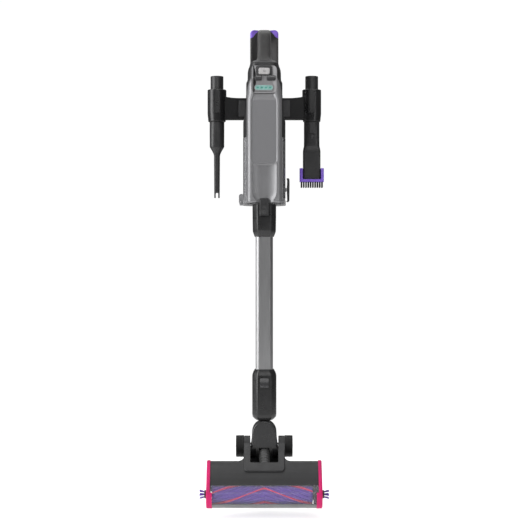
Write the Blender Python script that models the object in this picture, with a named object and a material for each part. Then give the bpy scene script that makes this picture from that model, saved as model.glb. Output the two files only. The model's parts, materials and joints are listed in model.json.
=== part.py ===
"""Cordless stick vacuum hanging in its wall bracket, with two tools in the bracket's sleeves.

Metres, +Z up.  The origin is the centre of the bracket's back face, +Y points into the wall and
the vacuum faces -Y.  Moving pieces are parented to an empty that stands on their joint's axis.
"""
import bpy
import bmesh
from math import acos, asin, atan2, cos, degrees, pi, radians, sin, sqrt
from mathutils import Vector

# ---------------------------------------------------------------- driving dimensions
GAP = 0.0003                    # air between pieces that touch
WAND_Y = -0.145                 # the wand's axis in front of the wall

# hand unit, measured from the wand's axis
BIN_Y = 0.050                   # bin axis behind the wand axis
BIN_R = 0.049
BIN_WALL = 0.002
BIN_TOP = -0.0788
BIN_BOTTOM = -0.233
SPINE_HALF = 0.0415             # half width of the spine cover
SPINE_FRONT = -0.032
SPINE_TOP = 0.0140
SPINE_BOTTOM = -0.233
HOUSING_FRONT = -0.030
HOUSING_TOP = 0.084
PANEL_HALF = 0.0292
PANEL_Z = (0.0158, 0.0838)
GRIP_HALF = 0.0155
COLUMN_HALF = 0.033             # rear column of the handle
COLUMN_Y = (0.046, 0.085)
HANDLE_TOP = 0.166
COLUMN_TOP = 0.1705
BRIDGE_Z = 0.146                # top of the finger gap
DOOR_CHORD = -0.0202            # the door ends this far before the bin's axis
HINGE_X = -0.0545               # bin door hinge
HINGE_Z = -0.2285
LATCH_X = 0.0535
LATCH_Z = -0.200

# wand and neck
SOCKET_TOP = -0.2372
SOCKET_BOTTOM = -0.311
TUBE_HALF = (0.0198, 0.0160)    # oval tube
TUBE_WALL = 0.0016
NECK_TOP = -0.6147
NECK_BOTTOM = -0.7312
LEAN_Z = -0.7598                # side to side hinge of the neck
PITCH_Z = -0.792                # wheel axis, about which the head tilts
DROOP = radians(42.0)           # the hanging head's tilt from square

# floor head, f forward of the wheel axis and u above the floor
AXLE_U = 0.025
HEAD_HALF = 0.1205              # half width inside the end caps
CAP_THICK = 0.0080
HEAD_REAR = 0.068
HEAD_TOP = 0.060
ROLL_F = 0.138
ROLL_U = 0.024
ROLL_R = 0.0236
WINDOW_TOP = 98                 # degrees above straight ahead where the window starts
NOSE = (0.031, 0.027)           # half axes of the nose's oval about the roll
MOTOR_F = 0.093
MOTOR_U = 0.030
PULLEY_R = 0.0050
ROLL_PULLEY_R = 0.0125
BELT_X = (0.1095, 0.1165)
WHEEL_X = (0.0469, 0.0649)
YOKE_X = (0.0323, 0.0465)

# wall bracket and its tools
TOOL_X = 0.1132
TOOL_Y = -0.026
SLEEVE_Z = (-0.0338, 0.0427)
SLEEVE_BORE = 0.0160
COLLAR_R = 0.01535
COLLAR_TOP = 0.0748

ROUND = 24                      # sides of a round piece


# ---------------------------------------------------------------- materials
def material(name, colour, roughness, metallic=0.0, alpha=1.0):
    """A Principled material with one colour."""
    found = bpy.data.materials.get(name)
    if found:
        return found
    made = bpy.data.materials.new(name)
    made.use_nodes = True
    shader = made.node_tree.nodes["Principled BSDF"]
    shader.inputs["Base Color"].default_value = (*colour, 1.0)
    shader.inputs["Roughness"].default_value = roughness
    shader.inputs["Metallic"].default_value = metallic
    shader.inputs["Alpha"].default_value = alpha
    return made


FINISHES = {
    "black_plastic": ((0.035, 0.035, 0.037), 0.45, 0.0, 1.0),
    "dark_gloss": ((0.030, 0.030, 0.032), 0.20, 0.0, 1.0),
    "soft_grip": ((0.045, 0.043, 0.044), 0.70, 0.0, 1.0),
    "grey_metallic": ((0.22, 0.22, 0.23), 0.28, 0.3, 1.0),
    "grey_satin": ((0.17, 0.17, 0.18), 0.42, 0.2, 1.0),
    "panel_grey": ((0.20, 0.20, 0.21), 0.50, 0.0, 1.0),
    "white_plastic": ((0.52, 0.51, 0.51), 0.40, 0.0, 1.0),
    "display": ((0.24, 0.42, 0.40), 0.20, 0.0, 1.0),
    "purple_plastic": ((0.19, 0.10, 0.52), 0.35, 0.0, 1.0),
    "pink_plastic": ((0.80, 0.02, 0.15), 0.35, 0.0, 1.0),
    "smoke_clear": ((0.35, 0.35, 0.36), 0.10, 0.0, 0.35),
    "clear": ((0.75, 0.75, 0.78), 0.08, 0.0, 0.25),
    "aluminium": ((0.42, 0.42, 0.43), 0.30, 1.0, 1.0),
    "steel": ((0.60, 0.60, 0.60), 0.30, 1.0, 1.0),
    "rubber": ((0.025, 0.025, 0.025), 0.85, 0.0, 1.0),
    "filter": ((0.75, 0.74, 0.70), 0.90, 0.0, 1.0),
    "board_green": ((0.02, 0.18, 0.08), 0.50, 0.0, 1.0),
    "purple_bristle": ((0.22, 0.13, 0.55), 0.75, 0.0, 1.0),
}


def finish(name):
    """The named finish from the table of finishes."""
    colour, roughness, metallic, alpha = FINISHES[name]
    return material(name, colour, roughness, metallic, alpha)


# ---------------------------------------------------------------- placing
def clear_scene():
    """Remove every object that the scene starts with."""
    for thing in list(bpy.data.objects):
        bpy.data.objects.remove(thing, do_unlink=True)


def axis_frame(name, place, parent=None, tilt=0.0):
    """An empty on a joint's axis, tilted about X."""
    empty = bpy.data.objects.new(name, None)
    bpy.context.collection.objects.link(empty)
    empty.location = place
    empty.rotation_euler = (tilt, 0.0, 0.0)
    empty.parent = parent
    return empty


def body(name, points, faces, look, parent):
    """One closed solid from points and faces, its faces turned outwards."""
    mesh = bpy.data.meshes.new(name)
    mesh.from_pydata(points, [], faces)
    work = bmesh.new()
    work.from_mesh(mesh)
    bmesh.ops.remove_doubles(work, verts=work.verts, dist=1e-7)
    bmesh.ops.recalc_face_normals(work, faces=work.faces)
    work.to_mesh(mesh)
    work.free()
    thing = bpy.data.objects.new(name, mesh)
    bpy.context.collection.objects.link(thing)
    thing.parent = parent
    mesh.shade_smooth()
    mesh.set_sharp_from_angle(angle=radians(35))
    if look:
        mesh.materials.append(finish(look))
    return thing


def skin(name, rings, look=None, parent=None, hollow=False):
    """Stretch a skin over rings of equal length: capped at both ends, or closed into a hollow ring."""
    size = len(rings[0])
    points = [point for ring in rings for point in ring]
    spans = len(rings) if hollow else len(rings) - 1
    faces = []
    for level in range(spans):
        low = level * size
        high = ((level + 1) % len(rings)) * size
        for step in range(size):
            after = (step + 1) % size
            faces.append((low + step, low + after, high + after, high + step))
    if not hollow:
        faces.append(tuple(reversed(range(size))))
        faces.append(tuple(range(len(points) - size, len(points))))
    return body(name, points, faces, look, parent)


def modify(target, tool, operation):
    """Keep a Boolean on target; the tool is a hidden guide in the same frame."""
    tool.hide_render = True
    tool.display_type = "WIRE"
    step = target.modifiers.new(operation.lower(), "BOOLEAN")
    step.operation = operation
    step.solver = "EXACT"
    step.object = tool
    return target


def cut(target, tool):
    """Take the tool's shape away from target."""
    return modify(target, tool, "DIFFERENCE")


def fuse(target, tool):
    """Add the tool's shape to target."""
    return modify(target, tool, "UNION")


# ---------------------------------------------------------------- outlines and simple solids
AXES = {
    "X": lambda a, b, h: (h, a, b),
    "Y": lambda a, b, h: (a, h, b),
    "Z": lambda a, b, h: (a, b, h),
}


def circle(radius, centre=(0.0, 0.0), sides=ROUND):
    """Points of a circle, starting half a step from its first axis."""
    turn = [2 * pi * (step + 0.5) / sides for step in range(sides)]
    return [(centre[0] + radius * cos(a), centre[1] + radius * sin(a)) for a in turn]


def oval(half_a, half_b, centre=(0.0, 0.0), power=2.0, sides=ROUND):
    """Points of an oval; a power above 2 squares it towards a rounded rectangle."""
    points = []
    for step in range(sides):
        turn = 2 * pi * (step + 0.5) / sides
        a = abs(cos(turn)) ** (2 / power)
        b = abs(sin(turn)) ** (2 / power)
        a = a if cos(turn) > 0 else -a
        b = b if sin(turn) > 0 else -b
        points.append((centre[0] + half_a * a, centre[1] + half_b * b))
    return points


def rounded(half_a, half_b, radius, centre=(0.0, 0.0), steps=4):
    """Points of a rectangle with round corners."""
    points = []
    for corner, (side_a, side_b) in enumerate(((1, 1), (-1, 1), (-1, -1), (1, -1))):
        for step in range(steps + 1):
            turn = (corner + step / steps) * pi / 2
            a = side_a * (half_a - radius) + radius * cos(turn)
            b = side_b * (half_b - radius) + radius * sin(turn)
            points.append((centre[0] + a, centre[1] + b))
    return points


def arc(centre, radius_a, radius_b, start, end, steps):
    """Points along an oval arc, angles in degrees."""
    turns = [radians(start + (end - start) * step / steps) for step in range(steps + 1)]
    return [(centre[0] + radius_a * cos(a), centre[1] + radius_b * sin(a)) for a in turns]


def level(outline, height, axis="Z"):
    """Lift a flat outline to a height along an axis."""
    return [AXES[axis](a, b, height) for a, b in outline]


def prism(name, outline, axis, low, high, look=None, parent=None):
    """A flat outline pulled along an axis."""
    return skin(name, [level(outline, low, axis), level(outline, high, axis)], look, parent)


def block(name, xs, ys, zs, look=None, parent=None, radius=0.0):
    """A box given by its two ends on each axis, its upright corners rounded."""
    centre = ((xs[0] + xs[1]) / 2, (ys[0] + ys[1]) / 2)
    half = ((xs[1] - xs[0]) / 2, (ys[1] - ys[0]) / 2)
    if radius:
        outline = rounded(half[0], half[1], radius, centre, 3)
    else:
        outline = [(xs[0], ys[0]), (xs[1], ys[0]), (xs[1], ys[1]), (xs[0], ys[1])]
    return prism(name, outline, "Z", zs[0], zs[1], look, parent)


def plate(name, xs, zs, ys, radius, look=None, parent=None, steps=4):
    """An upright plate with round corners, ys its front and back."""
    centre = ((xs[0] + xs[1]) / 2, (zs[0] + zs[1]) / 2)
    outline = rounded((xs[1] - xs[0]) / 2, (zs[1] - zs[0]) / 2, radius, centre, steps)
    return prism(name, outline, "Y", ys[0], ys[1], look, parent)


def turned(name, profile, axis, centre, look=None, parent=None, hollow=False, sides=ROUND):
    """Turn a profile of (radius, height) pairs about an axis through centre."""
    rings = [level(circle(radius, centre, sides), height, axis) for radius, height in profile]
    return skin(name, rings, look, parent, hollow)


def rod(name, radius, axis, centre, low, high, look=None, parent=None, sides=ROUND):
    """A plain round rod."""
    return turned(name, [(radius, low), (radius, high)], axis, centre, look, parent, sides=sides)



# ---------------------------------------------------------------- wall bracket and tools
PLATE_HALF = 0.036
PLATE_Z = (-0.078, 0.050)
PLATE_THICK = 0.010
BAR_Y = (-0.038, -PLATE_THICK - GAP)
SCREW_Z = (0.040, -0.064)
TONGUE_TOP = 0.018


def build_wall_plate(root):
    """The plate that is screwed to the wall, with two countersunk holes."""
    wall_plate = plate("wall_plate", (-PLATE_HALF, PLATE_HALF), PLATE_Z, (-PLATE_THICK, 0.0), 0.012,
                       "black_plastic", root)
    for number, height in enumerate(SCREW_Z):
        sink = [(0.0052, -PLATE_THICK - 0.001), (0.0052, -0.0068), (0.0025, -0.0040), (0.0025, 0.001)]
        cut(wall_plate, turned(f"sink_cutter_{number}", sink, "Y", (0.0, height), parent=root, sides=16))


def build_wall_screws(root):
    """Two countersunk screws whose tips end flush inside the plate."""
    for name, height in zip(("wall_screw_upper", "wall_screw_lower"), SCREW_Z):
        profile = [(0.0048, -0.0092), (0.0048, -0.0070), (0.0021, -0.0042), (0.0021, -0.0004)]
        screw = turned(name, profile, "Y", (0.0, height), "steel", root, sides=16)
        cut(screw, block(name + "_slot", (-0.0035, 0.0035), (-0.0100, -0.0082),
                         (height - 0.0006, height + 0.0006), parent=root))


def build_tool_bar(root):
    """The cross bar, whose upper edge sweeps up to the sleeves at both ends."""
    inner = 0.060
    end = TOOL_X
    steps = (0.0, 0.3, 0.5, 0.7, 0.85, 1.0)
    top = [(inner - 0.002 + (end - inner) * t, 0.022 + 0.009 * t ** 2) for t in steps]
    right = [(end, -0.028)] + [(x, z) for x, z in reversed(top)]
    left = [(-x, z) for x, z in reversed(right)]
    bar = prism("tool_bar", right + left, "Y", BAR_Y[0], BAR_Y[1], "black_plastic", root)
    for side in (-1, 1):
        cut(bar, rod(f"bar_end_cutter_{side}", 0.0231, "Z", (side * TOOL_X, TOOL_Y), -0.06, 0.06,
                     parent=root))


def build_dock_hook(root):
    """The upturned hook on the bar that the hand unit hangs on."""
    face = BAR_Y[0] - GAP
    outline = [(face, -0.020), (face, 0.016), (face - 0.004, 0.016), (face - 0.004, -0.009),
               (-0.0480, -0.009), (-0.0480, TONGUE_TOP), (-0.0515, TONGUE_TOP), (-0.0520, -0.016),
               (-0.0490, -0.020)]
    prism("dock_hook", outline, "X", -0.012, 0.012, "black_plastic", root)


def build_sleeve(name, side, root):
    """A round sleeve, slightly tapered below, that a tool is pushed into from underneath."""
    low, high = SLEEVE_Z
    profile = [(0.0205, low), (0.0222, low + 0.016), (0.0222, high - 0.003), (0.0210, high),
               (SLEEVE_BORE, high), (SLEEVE_BORE, low)]
    turned(name, profile, "Z", (side * TOOL_X, TOOL_Y), "black_plastic", root, True)


def tool_skin(name, stations, wall, frame):
    """A hollow tool from (height, half width, half depth, power) stations, thicker under its collar."""
    outer = [level(oval(a, b, (0, 0), power, 20), z) for z, a, b, power in stations]
    inner = [level(oval(a - wall, b - wall, (0, 0), power, 20), z) for z, a, b, power in stations]
    inner[1] = level(oval(COLLAR_R - wall, COLLAR_R - wall, (0, 0), 2.0, 20), -0.040)
    inner[2] = level(oval(COLLAR_R - 0.0010, COLLAR_R - 0.0010, (0, 0), 2.0, 20), -0.050)
    return skin(name, outer + inner[::-1], "black_plastic", frame, True)


def build_crevice_tool(frame):
    """A hollow tool: round collar, thicker body, then a slim flat blade with a notched tip."""
    stations = [(COLLAR_TOP, COLLAR_R, COLLAR_R, 2.0), (-0.0341, COLLAR_R, COLLAR_R, 2.0),
                (-0.0341, 0.0175, 0.0170, 2.2), (-0.0943, 0.0172, 0.0160, 2.4),
                (-0.1127, 0.0072, 0.0100, 3.0), (-0.2155, 0.0065, 0.0065, 3.0)]
    tool = tool_skin("crevice_tool", stations, 0.0016, frame)
    cut(tool, plate("crevice_notch", (-0.0031, 0.0031), (-0.2300, -0.2030), (-0.02, 0.02), 0.0030,
                    parent=frame))


BRUSH_PLATE = (0.0210, 0.0068)  # half width and depth of the brush tool's flat nozzle


def build_brush_tool(frame):
    """A hollow tool with a round collar and a flat nozzle that the brush slides on."""
    stations = [(COLLAR_TOP, COLLAR_R, COLLAR_R, 2.0), (-0.0341, COLLAR_R, COLLAR_R, 2.0),
                (-0.0341, 0.0185, 0.0175, 2.3), (-0.0888, 0.0185, 0.0130, 3.0),
                (-0.1030, *BRUSH_PLATE, 5.0), (-0.1703, *BRUSH_PLATE, 5.0)]
    tool_skin("brush_tool", stations, 0.0017, frame)


def build_brush_slider(frame):
    """The sliding frame round the flat nozzle, with a ring of bristles below it."""
    bore = (BRUSH_PLATE[0] + 0.0005, BRUSH_PLATE[1] + 0.0005)
    stations = [(-0.1447, 0.0255, 0.0105), (-0.1490, 0.0280, 0.0115), (-0.1560, 0.0290, 0.0125),
                (-0.1775, 0.0290, 0.0125), (-0.1775, 0.0262, 0.0112), (-0.1909, 0.0262, 0.0112)]
    outer = [level(oval(a, b, (0, 0), 5.0, 24), z) for z, a, b in stations]
    inner = [level(oval(*bore, (0, 0), 5.0, 24), z) for z in (stations[-1][0], stations[0][0])]
    slider = skin("brush_slider", outer + inner, "purple_plastic", frame, True)
    cut(slider, block("slider_window", (-bore[0], bore[0]), (-0.03, 0.0), (-0.1712, -0.13), parent=frame))


def build_bracket():
    """The wall bracket, which holds everything else up."""
    root = axis_frame("wall_bracket", (0.0, 0.0, 0.0))
    build_wall_plate(root)
    build_wall_screws(root)
    build_tool_bar(root)
    build_dock_hook(root)
    build_sleeve("left_tool_sleeve", -1, root)
    build_sleeve("right_tool_sleeve", 1, root)
    build_crevice_tool(axis_frame("crevice_axis", (-TOOL_X, TOOL_Y, 0.0), root))
    brush = axis_frame("brush_axis", (TOOL_X, TOOL_Y, 0.0), root)
    build_brush_tool(brush)
    build_brush_slider(brush)
    return root


# ---------------------------------------------------------------- hand unit
BUTTONS = (                     # name, ends in X, ends in Z, finish
    ("power_button", (-0.0130, 0.0125), (0.0590, 0.0737), "white_plastic"),
    ("boost_button", (-0.0210, -0.0060), (0.0452, 0.0556), "dark_gloss"),
    ("mode_button", (0.0060, 0.0250), (0.0452, 0.0556), "dark_gloss"),
)
DISPLAY = ((-0.0215, 0.0205), (0.0214, 0.0360))
PANEL_BACK = -0.0275
MOTOR_Y = 0.045
DUCT_Y = -0.0112                # the duct runs up in front of the wand's middle
INLAY_Z = (-0.1430, -0.0003)
INLAY_HALF = 0.0276
BATTERY_Z = (0.078, 0.142)
BATTERY_Y = (COLUMN_Y[1] + 0.0006, 0.111)
RELEASE_Z = (0.118, 0.132)


def housing_level(half_a, half_b, centre_y, power, height):
    """One cross section of the motor housing."""
    return level(oval(half_a, half_b, (0.0, centre_y), power, 32), height)


def build_motor_housing(hand):
    """The housing: round like the bin below, squarer above, with rooms for motor and electronics."""
    deep = (0.084 - HOUSING_FRONT) / 2
    middle = (0.084 + HOUSING_FRONT) / 2
    stations = [(0.0494, 0.0494, BIN_Y, 2.0, BIN_TOP + GAP), (0.0494, 0.0494, BIN_Y, 2.0, -0.040),
                (0.0440, 0.0420, 0.0434, 2.1, -0.026), (0.0425, 0.0418, 0.0432, 2.3, 0.0146),
                (0.0430, deep, middle, 4.5, 0.0156), (0.0420, deep, middle, 4.5, 0.047),
                (0.0390, deep - 0.001, middle, 4.5, 0.066),
                (0.0365, deep - 0.003, middle, 4.5, HOUSING_TOP)]
    housing = skin("motor_housing", [housing_level(*station) for station in stations],
                   "black_plastic", hand)
    cut(housing, rod("motor_room", 0.0366, "Z", (0.0, MOTOR_Y), BIN_TOP - 0.01, 0.004, parent=hand,
                     sides=28))
    cut(housing, plate("panel_recess", (-PANEL_HALF - GAP, PANEL_HALF + GAP), (0.0, PANEL_Z[1] + 0.05),
                       (-0.040, PANEL_BACK), 0.011, parent=hand))
    cut(housing, block("board_room", (-0.0272, 0.0272), (PANEL_BACK - 0.005, -0.0150), (0.0208, 0.0770),
                       parent=hand))
    cut(housing, block("vent_room", (-0.0300, 0.0300), (-0.005, 0.0785), (0.0260, 0.0760), parent=hand))
    cut(housing, block("vent_mouth", (-0.0262, 0.0262), (0.0798, 0.095), (0.0400, 0.0640), parent=hand))
    cut(housing, block("hook_slot", (-0.0145, 0.0145), (0.0905, 0.110), (-0.0600, -0.0200), parent=hand))


def build_exhaust_grille(hand):
    """A slotted grille in the back of the housing, over the air outlet."""
    low, high = 0.0403, 0.0637
    grille = plate("exhaust_grille", (-0.0259, 0.0259), (low, high), (0.0801, 0.0834), 0.002,
                   "dark_gloss", hand, 2)
    for row in range(4):
        middle = low + 0.0038 + row * 0.0053
        cut(grille, block(f"vent_slot_{row}", (-0.0225, 0.0225), (0.07, 0.09),
                          (middle - 0.0012, middle + 0.0012), parent=hand))


def saddle(half, front, corner, radius):
    """Outline of the spine: round front corners, and a hollow back that fits round the bin."""
    side_y = BIN_Y - sqrt(radius ** 2 - half ** 2)
    front_right = arc((half - corner, front + corner), corner, corner, 0, -90, 5)
    front_left = arc((-half + corner, front + corner), corner, corner, -90, -180, 5)
    turn = degrees(acos(half / radius))
    back = arc((0.0, BIN_Y), radius, radius, -180 + turn, -turn, 14)[1:-1]
    return [(half, side_y - 0.001)] + front_right + front_left + [(-half, side_y - 0.001)] + back


def build_spine_cover(hand):
    """The long front shell, with a recess for the inlay and a scoop that narrows downwards."""
    stations = [(0.0405, SPINE_FRONT + 0.004, 0.012, SPINE_TOP), (SPINE_HALF, SPINE_FRONT, 0.012, 0.008),
                (SPINE_HALF, SPINE_FRONT, 0.012, -0.224), (0.0405, SPINE_FRONT + 0.003, 0.012, SPINE_BOTTOM)]
    rings = [level(saddle(half, front, corner, 0.0505), z) for half, front, corner, z in stations]
    cover = skin("spine_cover", rings, "grey_metallic", hand)
    cut(cover, plate("inlay_recess", (-INLAY_HALF, INLAY_HALF), (INLAY_Z[0] - GAP, 0.0),
                     (-0.045, SPINE_FRONT + 0.0020), 0.006, parent=hand))
    scoop = [(-0.1436, 0.0276, 0.0025), (-0.165, 0.0274, 0.0050), (-0.190, 0.0262, 0.0062),
             (-0.212, 0.0225, 0.0066), (-0.226, 0.0175, 0.0068), (-0.240, 0.0145, 0.0070)]
    cut(cover, skin("scoop", [level(oval(a, b, (0.0, SPINE_FRONT), 2.6, 24), z) for z, a, b in scoop],
                    parent=hand))
    cut(cover, block("duct_room", (-0.0168, 0.0168), (-0.0232, 0.010), (-0.250, -0.130), parent=hand,
                     radius=0.003))
    cut(cover, block("cable_room", (-0.0350, 0.0350), (-0.0262, 0.030), (-0.1280, 0.0070), parent=hand,
                     radius=0.005))


def build_inlet_duct(hand):
    """The duct from the wand up the spine, open at the back towards the bin's inlet."""
    stations = [(-0.2325, 0.0150, 0.0105), (-0.1340, 0.0150, 0.0105), (-0.1360, 0.0128, 0.0083),
                (-0.2325, 0.0128, 0.0083)]
    rings = [level(oval(a, b, (0.0, DUCT_Y), 4.0, 24), z) for z, a, b in stations]
    duct = skin("inlet_duct", rings, "black_plastic", hand, True)
    cut(duct, block("duct_window", (-0.010, 0.010), (-0.004, 0.02), (-0.158, -0.142), parent=hand))


def build_dust_bin(hand):
    """The clear bin: a tube with a rim, an inlet, a fixed front floor, hinge lugs and latch lugs."""
    inner = BIN_R - BIN_WALL
    profile = [(BIN_R, BIN_TOP), (BIN_R, -0.2265), (0.0500, -0.2275), (0.0500, BIN_BOTTOM),
               (inner, BIN_BOTTOM), (inner, BIN_TOP)]
    dust_bin = turned("dust_bin", profile, "Z", (0.0, BIN_Y), "smoke_clear", hand, True, 36)
    shelf = [(x, BIN_Y + y) for x, y in chord_outline(BIN_R - 0.0008, DOOR_CHORD - 0.0008, below=True)]
    fuse(dust_bin, prism("front_floor", shelf, "Z", BIN_BOTTOM + 0.0002, BIN_BOTTOM + 0.0022, parent=hand))
    cut(dust_bin, block("bin_inlet", (-0.0100, 0.0100), (-0.005, 0.012), (-0.158, -0.142), parent=hand))
    for side in (-1, 1):
        y = BIN_Y + side * 0.0092
        lug = plate(f"hinge_lug_{side}", (-0.0590, -0.0480), (HINGE_Z - 0.0043, -0.2100),
                    (y - 0.0028, y + 0.0028), 0.0040, parent=hand)
        fuse(dust_bin, lug)
        latch_lug = plate(f"latch_lug_{side}", (0.0465, LATCH_X - 0.0012),
                          (LATCH_Z - 0.004, LATCH_Z + 0.004), (y - 0.0028, y + 0.0028), 0.0015, parent=hand)
        fuse(dust_bin, latch_lug)
    cut(dust_bin, rod("hinge_bore", 0.0018, "Y", (HINGE_X, HINGE_Z), BIN_Y - 0.02, BIN_Y + 0.02,
                      parent=hand, sides=16))


def chord_outline(radius, chord, below=False):
    """A disc cut by a straight chord: the part behind the chord, or the sliver before it."""
    turn = degrees(asin(chord / radius))
    if below:
        return arc((0.0, 0.0), radius, radius, 180 - turn, 360 + turn, 12)
    return arc((0.0, 0.0), radius, radius, turn, 180 - turn, 22)


def build_bin_door(door):
    """The bin's floor, which swings down about a pin on the left, with its rubber seal."""
    low, high = -0.0082, BIN_BOTTOM - GAP - HINGE_Z
    outline = [(x - HINGE_X, y) for x, y in chord_outline(0.0503, DOOR_CHORD)]
    floor = prism("bin_door", outline, "Z", low, high, "smoke_clear", door)
    fuse(floor, block("door_arm", (-0.0030, 0.0060), (-0.0058, 0.0058), (low + 0.0002, high - 0.0002),
                      parent=door))
    fuse(floor, plate("door_knuckle", (-0.0040, 0.0038), (low + 0.0010, 0.0040), (-0.0056, 0.0056), 0.0038,
                      parent=door))
    cut(floor, rod("door_bore", 0.0018, "Y", (0.0, 0.0), -0.02, 0.02, parent=door, sides=16))
    wide = chord_outline(BIN_R - BIN_WALL - 0.0012, DOOR_CHORD + 0.0012)
    slim = chord_outline(BIN_R - BIN_WALL - 0.0036, DOOR_CHORD + 0.0036)
    wide = [(x - HINGE_X, y) for x, y in wide]
    slim = [(x - HINGE_X, y) for x, y in slim]
    base, top = high + GAP, high + 0.0016
    rings = [level(wide, base), level(wide, top), level(slim, top), level(slim, base)]
    skin("bin_seal", rings, "rubber", door, True)


def build_bin_latch(latch):
    """The side lever that rocks on the bin and stands off its wall."""
    outline = [(-0.0008, 0.0270), (-0.0008, 0.0050), (-0.0008, -0.0250), (-0.0022, -0.0280),
               (0.0018, -0.0290), (0.0034, -0.0270), (0.0042, 0.0), (0.0034, 0.0240), (0.0018, 0.0270)]
    prism("bin_latch", outline, "Y", -0.0075, 0.0075, "black_plastic", latch)


def build_filter(hand):
    """A cone shaped shroud in the bin and a pleated filter inside it."""
    profile = [(0.0300, BIN_TOP - 0.0004), (0.0300, -0.090), (0.0250, -0.1600), (0.0070, -0.1660),
               (0.0060, -0.1640), (0.0232, -0.1590), (0.0282, -0.090), (0.0282, BIN_TOP - 0.0004)]
    shroud = turned("cyclone_shroud", profile, "Z", (0.0, BIN_Y), "dark_gloss", hand, True, 20)
    for row in range(3):
        height = -0.104 - 0.016 * row
        cut(shroud, block(f"shroud_slot_{row}", (-0.06, 0.06), (BIN_Y - 0.004, BIN_Y + 0.004),
                          (height - 0.004, height + 0.004), parent=hand))
    pleats = 14
    star = []
    slim = []
    for step in range(2 * pleats):
        turn = pi * step / pleats
        radius = 0.0215 if step % 2 else 0.0180
        star.append((radius * cos(turn), BIN_Y + radius * sin(turn)))
        slim.append(((radius - 0.0045) * cos(turn), BIN_Y + (radius - 0.0045) * sin(turn)))
    rings = [level(star, -0.150), level(star, -0.082), level(slim, -0.082), level(slim, -0.150)]
    skin("pleated_filter", rings, "filter", hand, True)


def build_motor(hand):
    """The suction motor's can above the bin, and the fan on its shaft below it."""
    profile = [(0.0240, 0.0030), (0.0300, -0.0010), (0.0300, -0.0460), (0.0060, -0.0460),
               (0.0060, -0.0440), (0.0060, 0.0030)]
    turned("suction_motor", profile, "Z", (0.0, MOTOR_Y), "steel", hand, True)
    fan = axis_frame("fan_axis", (0.0, MOTOR_Y, 0.0), hand)
    hub = [(0.0050, -0.0200), (0.0050, -0.0490), (0.0120, -0.0500), (0.0150, -0.0680), (0.0040, -0.0720)]
    rotor = turned("motor_fan", hub, "Z", (0.0, 0.0), "aluminium", fan, sides=20)
    for step in range(4):
        turn = pi * step / 4
        across = Vector((cos(turn), sin(turn)))
        side = Vector((-sin(turn), cos(turn))) * 0.0012
        reach = across * 0.0330
        ends = [(p.x, p.y) for p in (reach + side, side - reach, -reach - side, reach - side)]
        fuse(rotor, prism(f"fan_blade_{step}", ends, "Z", -0.0670, -0.0520, parent=fan))


def build_dock_catch(hand):
    """The pocket on the housing's back that drops over the bracket's tongue."""
    wall = -WAND_Y
    catch = block("dock_catch", (-0.018, 0.018), (wall - 0.0595, wall - 0.0435), (-0.005, 0.0300),
                  "black_plastic", hand, 0.003)
    cut(catch, block("tongue_pocket", (-0.0125, 0.0125), (wall - 0.0525, wall - 0.0465),
                     (-0.02, TONGUE_TOP + GAP), parent=hand))


def build_panel(hand):
    """The control panel with its display, the electronics behind it and three push buttons."""
    panel = plate("control_panel", (-PANEL_HALF, PANEL_HALF), PANEL_Z,
                  (HOUSING_FRONT + 0.0008, PANEL_BACK - GAP), 0.0105, "panel_grey", hand)
    for name, xs, zs, look in BUTTONS:
        wide = (xs[0] - 0.0004, xs[1] + 0.0004)
        tall = (zs[0] - 0.0004, zs[1] + 0.0004)
        cut(panel, plate(name + "_hole", wide, tall, (-0.04, 0.0), 0.0034, parent=hand, steps=3))
        frame = axis_frame(name + "_axis", ((xs[0] + xs[1]) / 2, 0.0, (zs[0] + zs[1]) / 2), hand)
        half = ((xs[1] - xs[0]) / 2, (zs[1] - zs[0]) / 2)
        plate(name, (-half[0], half[0]), (-half[1], half[1]), (-0.0306, -0.0235), 0.0030, look, frame, 3)
    xs, zs = DISPLAY
    cut(panel, plate("display_hole", (xs[0] - GAP, xs[1] + GAP), (zs[0] - GAP, zs[1] + GAP), (-0.04, 0.0),
                     0.0072, parent=hand))
    plate("display_lens", xs, zs, (-0.0297, -0.0265), 0.0070, "display", hand)
    plate("circuit_board", (-0.0262, 0.0262), (0.0218, 0.0690), (-0.0175, -0.0159), 0.001,
          "board_green", hand, 1)


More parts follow.
